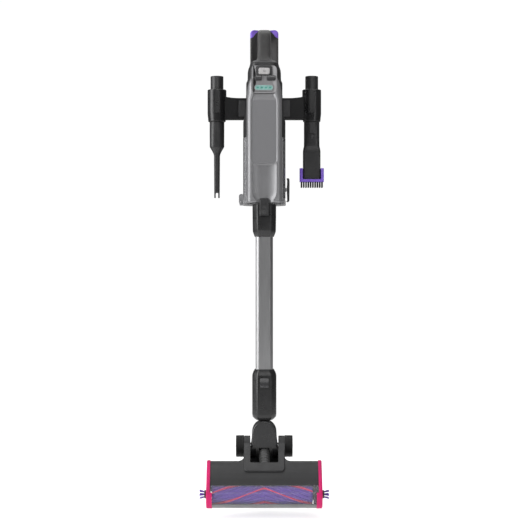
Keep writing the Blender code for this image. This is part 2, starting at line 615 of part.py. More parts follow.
def build_handle(hand):
    """The closed handle: grip in front, bridge on top, broad column behind, and its purple cap."""
    deep = (0.084 - HOUSING_FRONT) / 2
    middle = (0.084 + HOUSING_FRONT) / 2
    low = HOUSING_TOP + GAP
    base = [(0.0365, deep - 0.003, middle, low), (0.0350, deep - 0.004, middle, 0.088),
            (0.0310, deep - 0.006, middle, 0.092), (0.0250, deep - 0.010, middle, 0.0945)]
    handle = skin("handle_frame", [level(oval(a, b, (0.0, y), 4.5, 28), z) for a, b, y, z in base],
                  "soft_grip", hand)
    grip = [(0.0250, 0.0165, -0.0080, 0.087), (0.0195, 0.0150, -0.0045, 0.095),
            (0.0160, 0.0140, -0.001, 0.102), (GRIP_HALF, 0.0140, 0.000, 0.120),
            (GRIP_HALF, 0.0140, 0.001, 0.148), (0.0140, 0.0130, 0.002, 0.160),
            (0.0115, 0.0110, 0.003, HANDLE_TOP)]
    rings = [level(oval(a, b, (0.0, y), 2.8, 20), z) for a, b, y, z in grip]
    fuse(handle, skin("grip_bar", rings, parent=hand))
    fuse(handle, block("bridge", (-0.0130, 0.0130), (0.0050, 0.0600), (BRIDGE_Z, 0.1625), parent=hand))
    wide = COLUMN_HALF
    side = COLUMN_TOP - 0.0167
    column = [(-wide, 0.0860), (wide, 0.0860), (wide, side), (0.0142, COLUMN_TOP),
              (-0.0142, COLUMN_TOP), (-wide, side)]
    fuse(handle, prism("rear_column", column, "Y", COLUMN_Y[0], COLUMN_Y[1] - 0.0003, parent=hand))
    cut(handle, block("panel_top_recess", (-PANEL_HALF - GAP, PANEL_HALF + GAP), (-0.060, PANEL_BACK),
                      (0.060, PANEL_Z[1] + GAP), parent=hand))
    cut(handle, block("column_room", (-0.0270, 0.0270), (0.0510, 0.0900), (0.0920, 0.1380), parent=hand))
    crown = COLUMN_TOP - 0.0054
    cap = [(0.0143, COLUMN_TOP + 0.0004), (wide, side + 0.0004), (wide, crown)]
    cap += arc((wide - 0.008, crown), 0.008, 0.008, 22, 90, 4)
    outline = cap + [(-x, z) for x, z in reversed(cap)]
    prism("handle_cap", outline, "Y", COLUMN_Y[0], COLUMN_Y[1] - 0.0003, "purple_plastic", hand)


def build_battery(battery):
    """The battery pack behind the handle, and its release button."""
    xs = (-0.0300, 0.0300)
    pack = block("battery_pack", xs, BATTERY_Y, BATTERY_Z, "black_plastic", battery, 0.007)
    cut(pack, block("release_pocket", (-0.0123, 0.0123), (0.1050, 0.12),
                    (RELEASE_Z[0] - 0.0006, RELEASE_Z[1] + 0.0006), parent=battery))
    button = axis_frame("battery_release_axis", (0.0, 0.0, sum(RELEASE_Z) / 2), battery)
    half = (RELEASE_Z[1] - RELEASE_Z[0]) / 2
    plate("battery_release_button", (-0.0118, 0.0118), (-half, half), (0.1078, 0.1125), 0.003,
          "purple_plastic", button, 3)


def build_hand_unit(root):
    """Everything that lifts off the bracket with the handle."""
    hand = axis_frame("hand_unit", (0.0, WAND_Y, 0.0), root)
    build_motor_housing(hand)
    build_exhaust_grille(hand)
    build_spine_cover(hand)
    plate("spine_inlay", (-INLAY_HALF + GAP, INLAY_HALF - GAP), INLAY_Z,
          (SPINE_FRONT + 0.0002, SPINE_FRONT + 0.0017), 0.0057, "grey_satin", hand)
    build_inlet_duct(hand)
    build_dust_bin(hand)
    build_filter(hand)
    build_motor(hand)
    build_dock_catch(hand)
    build_panel(hand)
    build_handle(hand)
    build_battery(axis_frame("battery_axis", (0.0, 0.0, 0.0), hand))
    rod("bin_hinge_pin", 0.0015, "Y", (HINGE_X, HINGE_Z), BIN_Y - 0.0128, BIN_Y + 0.0128, "steel", hand, 16)
    door = axis_frame("bin_door_axis", (HINGE_X, BIN_Y, HINGE_Z), hand)
    build_bin_door(door)
    build_bin_latch(axis_frame("bin_latch_axis", (LATCH_X, BIN_Y, LATCH_Z), hand))
    return hand



# ---------------------------------------------------------------- wand, neck and swivel
TAB_Z = (-0.2630, -0.2232)      # wand release button
NECK_TAB_Z = (-0.6560, -0.6340)
SPIGOT = (0.0123, 0.0078)       # half width and depth of the spigot that enters the duct


def build_wand(wand):
    """The wand: a socket with the spigot that enters the duct, the oval tube and its lower spigot."""
    a, b = TUBE_HALF
    outer = [(-0.2100, *SPIGOT, DUCT_Y, 4.0), (SOCKET_TOP, *SPIGOT, DUCT_Y, 4.0),
             (SOCKET_TOP, 0.0275, 0.0270, -0.0040, 3.2), (-0.2990, 0.0266, 0.0215, 0.0, 3.0),
             (SOCKET_BOTTOM, 0.0216, 0.0178, 0.0, 2.4)]
    inner = [(SOCKET_BOTTOM, a + GAP, b + GAP, 0.0, 2.2), (-0.2900, a + GAP, b + GAP, 0.0, 2.2),
             (-0.2900, 0.0108, 0.0063, 0.0, 4.0), (-0.2100, 0.0108, 0.0063, DUCT_Y, 4.0)]
    rings = [level(oval(p, q, (0.0, y), power, 28), z) for z, p, q, y, power in outer + inner]
    socket = skin("wand_upper_socket", rings, "black_plastic", wand, True)
    cut(socket, block("tab_pocket", (-0.0107, 0.0107), (-0.045, -0.0235), (TAB_Z[0] - 0.0004, -0.20),
                      parent=wand))
    tab = axis_frame("wand_release_axis", (0.0, 0.0, sum(TAB_Z) / 2), wand)
    reach = (TAB_Z[1] - TAB_Z[0]) / 2
    outline = [(-0.0322, reach - 0.002), (-0.0310, reach), (-0.0283, reach), (-0.0283, reach - 0.012),
               (-0.0262, -reach), (-0.0300, -reach)] + \
              [(-0.0310 + 0.0022 * cos(radians(t)), -reach + 0.009 + 0.008 * cos(radians(t + 90)))
               for t in (70, 35, 0, -35, -70)]
    prism("wand_release_button", outline, "X", -0.01035, 0.01035, "black_plastic", tab)
    ends = [(-0.2905, a, b), (-0.6320, a, b), (-0.6320, a - TUBE_WALL, b - TUBE_WALL),
            (-0.2905, a - TUBE_WALL, b - TUBE_WALL)]
    skin("wand_tube", [level(oval(p, q, (0, 0), 2.2, 28), z) for z, p, q in ends], "aluminium", wand, True)
    steps = ((-0.6323, 0.0004), (-0.6540, 0.0004), (-0.6560, 0.0014), (-0.6560, 0.0044), (-0.6323, 0.0044))
    rings = [level(oval(a - inset, b - inset, (0, 0), 2.2, 28), z) for z, inset in steps]
    skin("wand_lower_spigot", rings, "black_plastic", wand, True)


def build_neck(neck):
    """The neck: a socket for the wand above, and below a tongue that leans on a pin in the fork."""
    a, b = TUBE_HALF
    outer = [(NECK_TOP, 0.0215, 0.0178, 2.3), (-0.6266, 0.0278, 0.0235, 2.8),
             (-0.7230, 0.0278, 0.0240, 3.0), (NECK_BOTTOM, 0.0193, 0.0190, 2.6)]
    inner = [(NECK_BOTTOM, 0.0100, 0.0060, 2.0), (-0.6700, 0.0150, 0.0110, 2.2),
             (-0.6565, a + GAP, b + GAP, 2.2), (NECK_TOP, a + GAP, b + GAP, 2.2)]
    rings = [level(oval(p, q, (0, 0), power, 28), z) for z, p, q, power in outer + inner]
    socket = skin("neck_socket", rings, "black_plastic", neck, True)
    tongue = [(0.0118, -0.7290), (-0.0118, -0.7290)] + arc((0.0, LEAN_Z), 0.0118, 0.0118, 180, 360, 14)
    lobe = prism("neck_tongue", tongue, "Y", -0.0058, 0.0058, parent=neck)
    fuse(socket, lobe)
    cut(socket, rod("tongue_bore", 0.0034, "Y", (0.0, LEAN_Z), -0.02, 0.02, parent=neck, sides=20))
    cut(socket, plate("neck_tab_pocket", (-0.0107, 0.0107), (NECK_TAB_Z[0] - 0.0006, NECK_TAB_Z[1] + 0.0006),
                      (-0.0400, -0.0195), 0.004, parent=neck))
    tab = axis_frame("neck_release_axis", (0.0, 0.0, sum(NECK_TAB_Z) / 2), neck)
    reach = (NECK_TAB_Z[1] - NECK_TAB_Z[0]) / 2
    plate("neck_release_button", (-0.0102, 0.0102), (-reach, reach), (-0.0252, -0.0212), 0.0038,
          "dark_gloss", tab)
    rod("lean_pin", 0.0030, "Y", (0.0, LEAN_Z), -0.0190, 0.0190, "steel", neck, 20)


def build_swivel(lean):
    """The fork: two domed cheeks on the lean pin, and two legs down to the wheel axles."""
    drop = PITCH_Z - LEAN_Z
    dome = arc((0.0, 0.0), 0.0280, 0.0280, 0, 180, 18)
    side = [(-0.0300, -0.024), (-0.0305, drop - 0.022), (-0.0290, drop - 0.025)]
    outline = dome + side + [(-x, z) for x, z in reversed(side)]
    fork = prism("swivel_fork", outline, "Y", -0.0240, 0.0210, "black_plastic", lean)
    cut(fork, block("cheek_gap", (-0.05, 0.05), (-0.0063, 0.0063), (-0.0150, 0.05), parent=lean))
    cut(fork, block("leg_gap", (-0.0185, 0.0185), (-0.05, 0.05), (drop - 0.05, drop - 0.0010), parent=lean,
                    radius=0.002))
    cut(fork, rod("lean_bore", 0.0034, "Y", (0.0, 0.0), -0.0200, 0.0200, parent=lean, sides=20))
    cut(fork, rod("axle_bore", 0.0044, "X", (0.0, drop), -0.05, 0.05, parent=lean, sides=20))
    for side_y in (-1, 1):
        cut(fork, leg_trim(side_y, drop, lean))


def leg_trim(side_y, drop, lean):
    """A guide that rounds the feet of the fork's legs about the wheel axis."""
    edge = 0.0225
    inner = arc((0.0, drop), edge, edge, -90, -90 + side_y * 88, 8)
    outline = [(side_y * 0.060, drop - 0.060), (side_y * 0.060, drop), *reversed(inner), (0.0, drop - 0.060)]
    return prism(f"leg_trim_{side_y}", outline, "X", -0.06, 0.06, parent=lean)


# ---------------------------------------------------------------- floor head
def head_point(f, u):
    """A point of the head's side view, as the tilted frame's Y and Z."""
    return (-f, u - AXLE_U)


def side_view(points):
    """A whole outline of the head's side view in the tilted frame."""
    return [head_point(f, u) for f, u in points]


def nose_arc(grow, start, end, steps):
    """Points along the head's oval nose, from start to end degrees above straight ahead."""
    return arc((ROLL_F, ROLL_U), NOSE[0] + grow, NOSE[1] + grow, start, end, steps)


def build_head_housing(head):
    """The head's rear and top shell, open below for motor and roll, with a well for the hose."""
    top = arc((HEAD_REAR + 0.009, HEAD_TOP - 0.009), 0.009, 0.009, 180, 90, 4)
    edge = nose_arc(0.0, WINDOW_TOP + 1, WINDOW_TOP + 1, 1)[0]
    lip = nose_arc(-0.0022, WINDOW_TOP + 1, WINDOW_TOP + 1, 1)[0]
    roof = [(edge[0], edge[1] + 0.0002), (lip[0], lip[1])]
    room = arc((ROLL_F, ROLL_U), ROLL_R + 0.0012, ROLL_R + 0.0010, 105, 212, 10)
    outline = [(HEAD_REAR, 0.0060)] + top + [(0.1050, 0.0575)] + roof + room + [(0.1150, 0.0060)]
    shell = prism("head_housing", side_view(outline), "X", -HEAD_HALF + GAP, HEAD_HALF - GAP,
                  "black_plastic", head)
    centre = head_point(MOTOR_F, MOTOR_U)
    cut(shell, rod("motor_chamber", 0.0140, "X", centre, -0.0900, 0.2, parent=head, sides=28))
    floor = head_point(0.0, 0.0)[1]
    cut(shell, block("motor_mouth", (0.0340, 0.2), (-MOTOR_F - 0.0140, -MOTOR_F + 0.0140),
                     (floor, centre[1]), parent=head))
    cut(shell, block("belt_chamber", (BELT_X[0] - 0.0015, 0.2), (-0.2, -MOTOR_F + 0.0140),
                     (floor, head_point(0.0, 0.0505)[1]), parent=head))
    cut(shell, block("hose_well", (-0.0318, 0.0318), (-0.0790, 0.0), (head_point(0, 0.0100)[1], 0.1),
                     parent=head))


def build_yoke(head):
    """The rear frame: an arm to each wheel axle, a floor under the hose and a guard behind it."""
    arms = []
    for side in (-1, 1):
        xs = sorted((side * YOKE_X[0], side * YOKE_X[1]))
        outline = side_view([(HEAD_REAR - GAP, 0.0052), (HEAD_REAR - GAP, 0.0520)]
                            + arc((0.0, AXLE_U), 0.0240, 0.0240, 62, 270, 16) + [(0.030, 0.0030)])
        arms.append(prism("yoke_frame" if side < 0 else "yoke_arm", outline, "X", xs[0], xs[1],
                          "black_plastic", head))
    yoke = fuse(arms[0], arms[1])
    for name, half, ys, us in (("yoke_floor", 0.0400, (-HEAD_REAR + 0.0005, -0.0330), (0.0035, 0.0088)),
                               ("yoke_guard", 0.0330, (-0.0340, 0.0300), (0.0004, 0.0020)),
                               ("yoke_step", 0.0330, (-0.0345, -0.0332), (0.0004, 0.0045))):
        heights = [head_point(0.0, u)[1] for u in us]
        fuse(yoke, block(name, (-half, half), ys, heights, parent=head))
    for side in (-1, 1):
        cut(yoke, rod(f"axle_hole_{side}", 0.0044, "X", (0.0, 0.0), side * 0.02, side * 0.06, parent=head,
                      sides=20))


def build_nose(head):
    """The clear window over the roll, the front lip below it and the sole plate."""
    xs = (-HEAD_HALF + GAP, HEAD_HALF - GAP)
    outer = nose_arc(0.0, WINDOW_TOP, -22, 14)
    inner = nose_arc(-0.0020, WINDOW_TOP, -22, 14)
    prism("window", side_view(outer + inner[::-1]), "X", *xs, "clear", head)
    lip = nose_arc(0.0002, -23, -50, 4) + [(0.1550, 0.0022)] + nose_arc(-0.0030, -52, -23, 4)
    prism("front_lip", side_view(lip), "X", *xs, "panel_grey", head)
    sole = [(HEAD_REAR + 0.001, 0.0015), (HEAD_REAR + 0.001, 0.0056), (0.1130, 0.0056), (0.1130, 0.0015)]
    prism("sole_plate", side_view(sole), "X", *xs, "black_plastic", head)


def cap_outline():
    """Side view of an end cap, a little larger than the head all round."""
    top = arc((HEAD_REAR + 0.008, HEAD_TOP - 0.0085), 0.0095, 0.0095, 180, 90, 4)
    nose = nose_arc(0.0012, WINDOW_TOP, -48, 16)
    return side_view([(HEAD_REAR - 0.0015, 0.0015)] + top + [(0.1050, 0.0588)] + nose + [(0.1550, 0.0015)])


def build_end_caps(head):
    """The two coloured end caps, each with a round hole for the roll's shaft."""
    centre = head_point(ROLL_F, ROLL_U)
    for name, side in (("end_cap_left", -1), ("end_cap_right", 1)):
        xs = sorted((side * HEAD_HALF, side * (HEAD_HALF + CAP_THICK)))
        cap = prism(name, cap_outline(), "X", xs[0], xs[1], "pink_plastic", head)
        cut(cap, rod(name + "_hole", 0.0070, "X", centre, xs[0] - 0.01, xs[1] + 0.01, parent=head,
                     sides=20))


def build_drive(head):
    """The brush motor, its pulley and the belt to the roll."""
    motor_at = head_point(MOTOR_F, MOTOR_U)
    roll_at = head_point(ROLL_F, ROLL_U)
    profile = [(0.0135, 0.0360), (0.0135, 0.1000), (0.0060, 0.1010), (0.0060, 0.1050)]
    can = turned("brush_motor", profile, "X", motor_at, "steel", head, sides=24)
    cut(can, rod("motor_shaft_bore", 0.0022, "X", motor_at, 0.0960, 0.1160, parent=head, sides=16))
    pulley = axis_frame("motor_pulley_axis", (0.0, *motor_at), head)
    profile = [(0.0018, 0.0990), (0.0018, 0.1060), (0.0062, 0.1060), (0.0062, 0.1088),
               (PULLEY_R, 0.1092), (PULLEY_R, 0.1170), (0.0062, 0.1174), (0.0062, 0.1188)]
    turned("motor_pulley", profile, "X", (0.0, 0.0), "steel", pulley, sides=20)
    build_belt(motor_at, roll_at, head)


def build_belt(motor_at, roll_at, head):
    """A flat belt round both pulleys: two round wraps joined by straight runs."""
    ahead = Vector(roll_at) - Vector(motor_at)
    heading = degrees(atan2(ahead.y, ahead.x))
    wrap = degrees(acos((PULLEY_R - ROLL_PULLEY_R) / ahead.length))
    loops = []
    for clear in (1.5 * GAP, 1.5 * GAP + 0.0013):
        big = ROLL_PULLEY_R + clear
        small = PULLEY_R + clear
        loops.append(arc(roll_at, big, big, heading - wrap, heading + wrap, 14)
                     + arc(motor_at, small, small, heading + wrap, heading + 360 - wrap, 10))
    inner, outer = loops
    rings = [level(outer, BELT_X[0], "X"), level(outer, BELT_X[1], "X"), level(inner, BELT_X[1], "X"),
             level(inner, BELT_X[0], "X")]
    skin("drive_belt", rings, "rubber", head, True)


def build_hose(head):
    """The short bent hose from the head's well up towards the fork."""
    route = [(0.0770, 0.0270), (0.0600, 0.0272), (0.0520, 0.0290), (0.0450, 0.0335), (0.0402, 0.0405)]
    radius = 0.0108
    rings = []
    for number, (f, u) in enumerate(route):
        before = route[max(number - 1, 0)]
        after = route[min(number + 1, len(route) - 1)]
        lean = atan2(after[1] - before[1], before[0] - after[0])
        ring = []
        for a, b in circle(radius, sides=20):
            ring.append((a, *head_point(f + b * sin(lean), u + b * cos(lean))))
        rings.append(ring)
    skin("air_hose", rings, "rubber", head)


def build_brush_roll(roll):
    """The roll: a drum with chevron ridges, a belt pulley, and bristle tufts outside the end caps."""
    sides = 20
    ridges = 4
    drum_end = 0.1070
    rings = [level(circle(0.0038, sides=sides), -0.1300, "X")]
    rings.insert(0, level(circle(0.0092, sides=sides), -0.1440, "X"))
    rings.append(level(circle(0.0038, sides=sides), -0.1122, "X"))
    for step in range(9):
        place = -drum_end + 2 * drum_end * step / 8
        twist = radians(110.0) * abs(place) / drum_end
        ring = []
        for point in range(sides):
            turn = 2 * pi * (point + 0.5) / sides
            high = point % (sides // ridges) < 2
            radius = ROLL_R if high else ROLL_R - 0.0028
            ring.append((place, radius * cos(turn + twist), radius * sin(turn + twist)))
        rings.append(ring)
    for radius, place in ((ROLL_PULLEY_R, 0.1086), (ROLL_PULLEY_R, 0.1172), (0.0038, 0.1176),
                          (0.0038, 0.1300), (0.0092, 0.1440)):
        rings.append(level(circle(radius, sides=sides), place, "X"))
    skin("brush_roll", rings, "purple_bristle", roll)


def build_wheels(head):
    """Two rear wheels on the tilt axis, each on its own axle."""
    for name, side in (("left", -1), ("right", 1)):
        near, far = (side * end for end in WHEEL_X)
        middle = (near + far) / 2
        axle = axis_frame(f"wheel_{name}_axis", (0.0, 0.0, 0.0), head)
        profile = [(0.0044, near), (0.0232, near), (AXLE_U, near + side * 0.003), (AXLE_U, middle),
                   (AXLE_U, far - side * 0.003), (0.0232, far), (0.0150, far - side * 0.0008), (0.0044, far)]
        turned(f"wheel_{name}", profile, "X", (0.0, 0.0), "rubber", axle, True)
        rod(f"wheel_axle_{name}", 0.0040, "X", (0.0, 0.0), side * 0.0190, side * 0.0655, "steel", head, 20)


def build_floor_head(fork_axis):
    """The floor head, which tilts about the wheel axis and hangs with its nose down."""
    drop = PITCH_Z - LEAN_Z
    head = axis_frame("floor_head", (0.0, 0.0, drop), fork_axis, DROOP)
    build_head_housing(head)
    build_yoke(head)
    build_nose(head)
    build_end_caps(head)
    build_drive(head)
    build_hose(head)
    build_brush_roll(axis_frame("brush_roll_axis", (0.0, *head_point(ROLL_F, ROLL_U)), head))
    build_wheels(head)


def build_vacuum():
    """The whole vacuum on its bracket."""
    clear_scene()
    root = build_bracket()
    hand = build_hand_unit(root)
    wand = axis_frame("wand_axis", (0.0, 0.0, 0.0), hand)
    build_wand(wand)
    neck = axis_frame("neck_axis", (0.0, 0.0, 0.0), wand)
    build_neck(neck)
    fork_axis = axis_frame("lean_axis", (0.0, 0.0, LEAN_Z), neck)
    build_swivel(fork_axis)
    build_floor_head(fork_axis)


build_vacuum()
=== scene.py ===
"""Looks of the cordless stick vacuum: finely shaped pieces and procedural materials round the CAD frame."""
import json
from math import acos, cos, degrees, exp, pi, radians, sin, sqrt

import bmesh
import bpy
from mathutils import Matrix, Vector


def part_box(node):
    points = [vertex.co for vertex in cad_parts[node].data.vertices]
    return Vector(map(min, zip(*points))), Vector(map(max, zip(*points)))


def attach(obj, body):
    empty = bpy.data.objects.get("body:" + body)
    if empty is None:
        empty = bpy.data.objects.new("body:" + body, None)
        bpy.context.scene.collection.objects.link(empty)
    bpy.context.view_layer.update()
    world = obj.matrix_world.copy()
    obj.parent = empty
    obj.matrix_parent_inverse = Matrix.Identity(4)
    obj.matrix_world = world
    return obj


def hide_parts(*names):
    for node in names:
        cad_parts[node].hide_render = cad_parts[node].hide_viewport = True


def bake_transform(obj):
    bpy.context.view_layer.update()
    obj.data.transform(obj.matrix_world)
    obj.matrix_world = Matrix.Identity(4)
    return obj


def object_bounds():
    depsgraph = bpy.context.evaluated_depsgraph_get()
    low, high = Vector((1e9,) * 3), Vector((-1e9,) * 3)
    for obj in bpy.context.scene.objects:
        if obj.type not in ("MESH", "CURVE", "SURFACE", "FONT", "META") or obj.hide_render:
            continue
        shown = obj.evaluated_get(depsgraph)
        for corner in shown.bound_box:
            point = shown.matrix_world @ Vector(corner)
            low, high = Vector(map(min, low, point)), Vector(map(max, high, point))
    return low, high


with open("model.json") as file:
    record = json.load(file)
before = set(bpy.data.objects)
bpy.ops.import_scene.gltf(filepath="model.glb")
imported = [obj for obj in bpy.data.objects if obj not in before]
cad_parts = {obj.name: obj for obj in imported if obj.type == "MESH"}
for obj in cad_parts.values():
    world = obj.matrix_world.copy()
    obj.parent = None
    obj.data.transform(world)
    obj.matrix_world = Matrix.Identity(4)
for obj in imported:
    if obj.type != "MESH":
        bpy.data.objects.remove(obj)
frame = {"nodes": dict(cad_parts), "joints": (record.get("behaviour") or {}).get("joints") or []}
CAD_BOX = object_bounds()

# ---------------------------------------------------------------- places, from the frame
JOINTS = {joint["name"]: joint for joint in frame["joints"]}
WAND_Y = JOINTS["neck_lean"]["pos_m"][1]
LEAN_Z = JOINTS["neck_lean"]["pos_m"][2]
PITCH_Z = JOINTS["head_tilt"]["pos_m"][2]
DROOP = radians(-JOINTS["head_tilt"]["range_deg"][0])
ROLL_AT = Vector(JOINTS["brush_roll_spin"]["pos_m"])
DOOR_AT = Vector(JOINTS["bin_door_swing"]["pos_m"])
LATCH_AT = Vector(JOINTS["bin_latch_rock"]["pos_m"])
BIN_Y = DOOR_AT.y - WAND_Y


def middle(node):
    """The centre of a CAD node's box."""
    low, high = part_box(node)
    return (Vector(low) + Vector(high)) / 2


TOOL_X = middle("right_tool_sleeve").x
TOOL_Y = middle("right_tool_sleeve").y
HAND = Matrix.Translation((0, WAND_Y, 0))
LEAN = Matrix.Translation((0, WAND_Y, LEAN_Z))
HEAD = Matrix.Translation((0, WAND_Y, PITCH_Z)) @ Matrix.Rotation(DROOP, 4, "X")
LEFT_TOOL = Matrix.Translation((-TOOL_X, TOOL_Y, 0))
RIGHT_TOOL = Matrix.Translation((TOOL_X, TOOL_Y, 0))
WORLD = Matrix.Identity(4)
ROLL = HEAD @ Matrix.Translation(HEAD.inverted() @ ROLL_AT)


# ---------------------------------------------------------------- camera, light and floor
AMBIENT = (0.05, 0.26)          # strength of the surround below and above
CAMERA_DISTANCE = 3.0
CAMERA_Z = -0.3757
CAMERA_LENS = 88.6
CAMERA_X = 0.0016
FLOOR_DROP = 0.023              # the floor lies this far below the lowest point


def aim(thing, target):
    """Turn a light or camera so that it looks at a point."""
    heading = Vector(target) - thing.location
    thing.rotation_euler = heading.to_track_quat("-Z", "Y").to_euler()


def make_camera():
    """A long lens square in front of the vacuum, at half its height."""
    data = bpy.data.cameras.new("camera")
    data.lens = CAMERA_LENS
    data.sensor_width = 36.0
    camera = bpy.data.objects.new("camera", data)
    bpy.context.scene.collection.objects.link(camera)
    camera.location = (CAMERA_X, WAND_Y - CAMERA_DISTANCE, CAMERA_Z)
    aim(camera, (CAMERA_X, WAND_Y, CAMERA_Z))
    bpy.context.scene.camera = camera


def soft_box(name, place, target, width, height, power):
    """A rectangular soft light aimed at the object."""
    data = bpy.data.lights.new(name, "AREA")
    data.shape = "RECTANGLE"
    data.size = width
    data.size_y = height
    data.energy = power
    lamp = bpy.data.objects.new(name, data)
    bpy.context.scene.collection.objects.link(lamp)
    lamp.location = place
    aim(lamp, target)
    lamp.visible_camera = False


def make_lights():
    """A tall soft key from the left, weaker ones in front and right, washes from above, a pale surround."""
    soft_box("key_left", (-2.2, -1.05, 0.3), (0, WAND_Y, -0.35), 1.5, 2.4, 66.0)
    soft_box("front_fill", (0.5, -3.6, 1.3), (0, WAND_Y, -0.4), 2.4, 1.0, 24.0)
    soft_box("right_rim", (1.7, -1.9, 0.0), (0, WAND_Y, -0.4), 0.4, 2.0, 8.0)
    soft_box("top_wash", (0.0, -1.2, 2.0), (0, WAND_Y, -0.3), 1.6, 1.2, 9.0)
    soft_box("floor_wash", (0.0, 0.40, 1.6), (0, 0.2, -0.95), 2.8, 1.9, 34.0)
    make_surround()


def make_surround():
    """A white studio wall behind, while the light it sheds on the object is dimmer at the sides."""
    world = bpy.data.worlds.new("surround")
    world.use_nodes = True
    tree = world.node_tree
    backdrop = tree.nodes["Background"]
    backdrop.inputs["Color"].default_value = (1.0, 1.0, 1.0, 1.0)
    backdrop.inputs["Strength"].default_value = 1.02
    place = tree.nodes.new("ShaderNodeTexCoord")
    split = tree.nodes.new("ShaderNodeSeparateXYZ")
    tree.links.new(place.outputs["Generated"], split.inputs["Vector"])
    fade = tree.nodes.new("ShaderNodeMapRange")
    fade.inputs["From Min"].default_value = -0.6
    fade.inputs["From Max"].default_value = 1.0
    fade.inputs["To Min"].default_value = AMBIENT[0]
    fade.inputs["To Max"].default_value = AMBIENT[1]
    tree.links.new(split.outputs["Z"], fade.inputs["Value"])
    dome = tree.nodes.new("ShaderNodeBackground")
    tree.links.new(fade.outputs["Result"], dome.inputs["Strength"])
    seen = tree.nodes.new("ShaderNodeLightPath")
    mix = tree.nodes.new("ShaderNodeMixShader")
    tree.links.new(seen.outputs["Is Camera Ray"], mix.inputs["Fac"])
    tree.links.new(dome.outputs["Background"], mix.inputs[1])
    tree.links.new(backdrop.outputs["Background"], mix.inputs[2])
    tree.links.new(mix.outputs["Shader"], tree.nodes["World Output"].inputs["Surface"])
    bpy.context.scene.world = world
    bpy.context.scene.view_settings.view_transform = "Standard"


def stage_material(name, shade):
    """A pale matt surface, bright enough to read as a white studio."""
    made = bpy.data.materials.new(name)
    made.use_nodes = True
    shader = made.node_tree.nodes["Principled BSDF"]
    shader.inputs["Base Color"].default_value = (shade, shade, shade, 1.0)
    shader.inputs["Roughness"].default_value = 0.9
    shader.inputs["Emission Color"].default_value = (1.0, 1.0, 1.0, 1.0)
    shader.inputs["Emission Strength"].default_value = 0.74
    return made


def make_floor():
    """A pale floor under the hanging vacuum."""
    half, front, back = 1.6, -2.0, 1.2
    height = CAD_BOX[0][2] - FLOOR_DROP
    mesh = bpy.data.meshes.new("floor")
    corners = [(-half, front, height), (half, front, height), (half, back, height), (-half, back, height)]
    mesh.from_pydata(corners, [], [(0, 1, 2, 3)])
    mesh.materials.append(stage_material("studio_floor", 0.60))
    floor = bpy.data.objects.new("floor", mesh)
    bpy.context.scene.collection.objects.link(floor)


# ---------------------------------------------------------------- materials
class Recipe:
    """A material under construction: its node tree and its Principled shader."""

    def __init__(self, name):
        self.made = bpy.data.materials.new(name)
        self.made.use_nodes = True
        self.tree = self.made.node_tree
        self.shader = self.tree.nodes["Principled BSDF"]
        self.place = self.tree.nodes.new("ShaderNodeTexCoord").outputs["Object"]

    def set(self, **values):
        """Set constant values on the shader's own sockets; _ stands for a space."""
        for key, value in values.items():
            self.shader.inputs[key.replace("_", " ")].default_value = value

    def link(self, source, target):
        """Join an output socket to an input socket."""
        self.tree.links.new(source, target)

    def noise(self, scale, detail, stretch=(1.0, 1.0, 1.0), kind="ShaderNodeTexNoise"):
        """A noise or cell pattern in object space, stretched along the axes."""
        mapping = self.tree.nodes.new("ShaderNodeMapping")
        mapping.inputs["Scale"].default_value = stretch
        self.link(self.place, mapping.inputs["Vector"])
        texture = self.tree.nodes.new(kind)
        texture.inputs["Scale"].default_value = scale
        if kind == "ShaderNodeTexNoise":
            texture.inputs["Detail"].default_value = detail
        self.link(mapping.outputs["Vector"], texture.inputs["Vector"])
        return texture.outputs[0]

    def range(self, source, low, high, start=0.3, end=0.7):
        """Map a pattern to numbers between low and high."""
        node = self.tree.nodes.new("ShaderNodeMapRange")
        node.inputs["From Min"].default_value = start
        node.inputs["From Max"].default_value = end
        node.inputs["To Min"].default_value = low
        node.inputs["To Max"].default_value = high
        self.link(source, node.inputs["Value"])
        return node.outputs["Result"]

    def colours(self, source, colour, dark, light):
        """Map a pattern to a colour between a darker and a lighter one."""
        ramp = self.tree.nodes.new("ShaderNodeValToRGB")
        ramp.color_ramp.elements[0].position = 0.35
        ramp.color_ramp.elements[0].color = (*shade(colour, dark), 1.0)
        ramp.color_ramp.elements[1].position = 0.65
        ramp.color_ramp.elements[1].color = (*shade(colour, light), 1.0)
        self.link(source, ramp.inputs["Fac"])
        return ramp.outputs["Color"]

    def worn(self, colour, edge, amount):
        """Lighten a colour slightly where the surface is a sharp outer edge."""
        geometry = self.tree.nodes.new("ShaderNodeNewGeometry")
        share = self.range(geometry.outputs["Pointiness"], 0.0, amount, 0.52, 0.62)
        mix = self.tree.nodes.new("ShaderNodeMix")
        mix.data_type = "RGBA"
        self.link(share, mix.inputs["Factor"])
        self.link(colour, mix.inputs["A"])
        mix.inputs["B"].default_value = (*edge, 1.0)
        return mix.outputs["Result"]

    def bump(self, source, strength, distance=0.0004):
        """Raise the surface by a pattern."""
        node = self.tree.nodes.new("ShaderNodeBump")
        node.inputs["Strength"].default_value = strength
        node.inputs["Distance"].default_value = distance
        self.link(source, node.inputs["Height"])
        return node.outputs["Normal"]

    def finish(self, colour, roughness, normal):
        """Link what varies to the shader and return the material."""
        for source, name in ((colour, "Base Color"), (roughness, "Roughness"), (normal, "Normal")):
            self.link(source, self.shader.inputs[name])
        return self.made


def shade(colour, factor):
    """A colour made darker or lighter."""
    return tuple(min(1.0, part * factor) for part in colour)


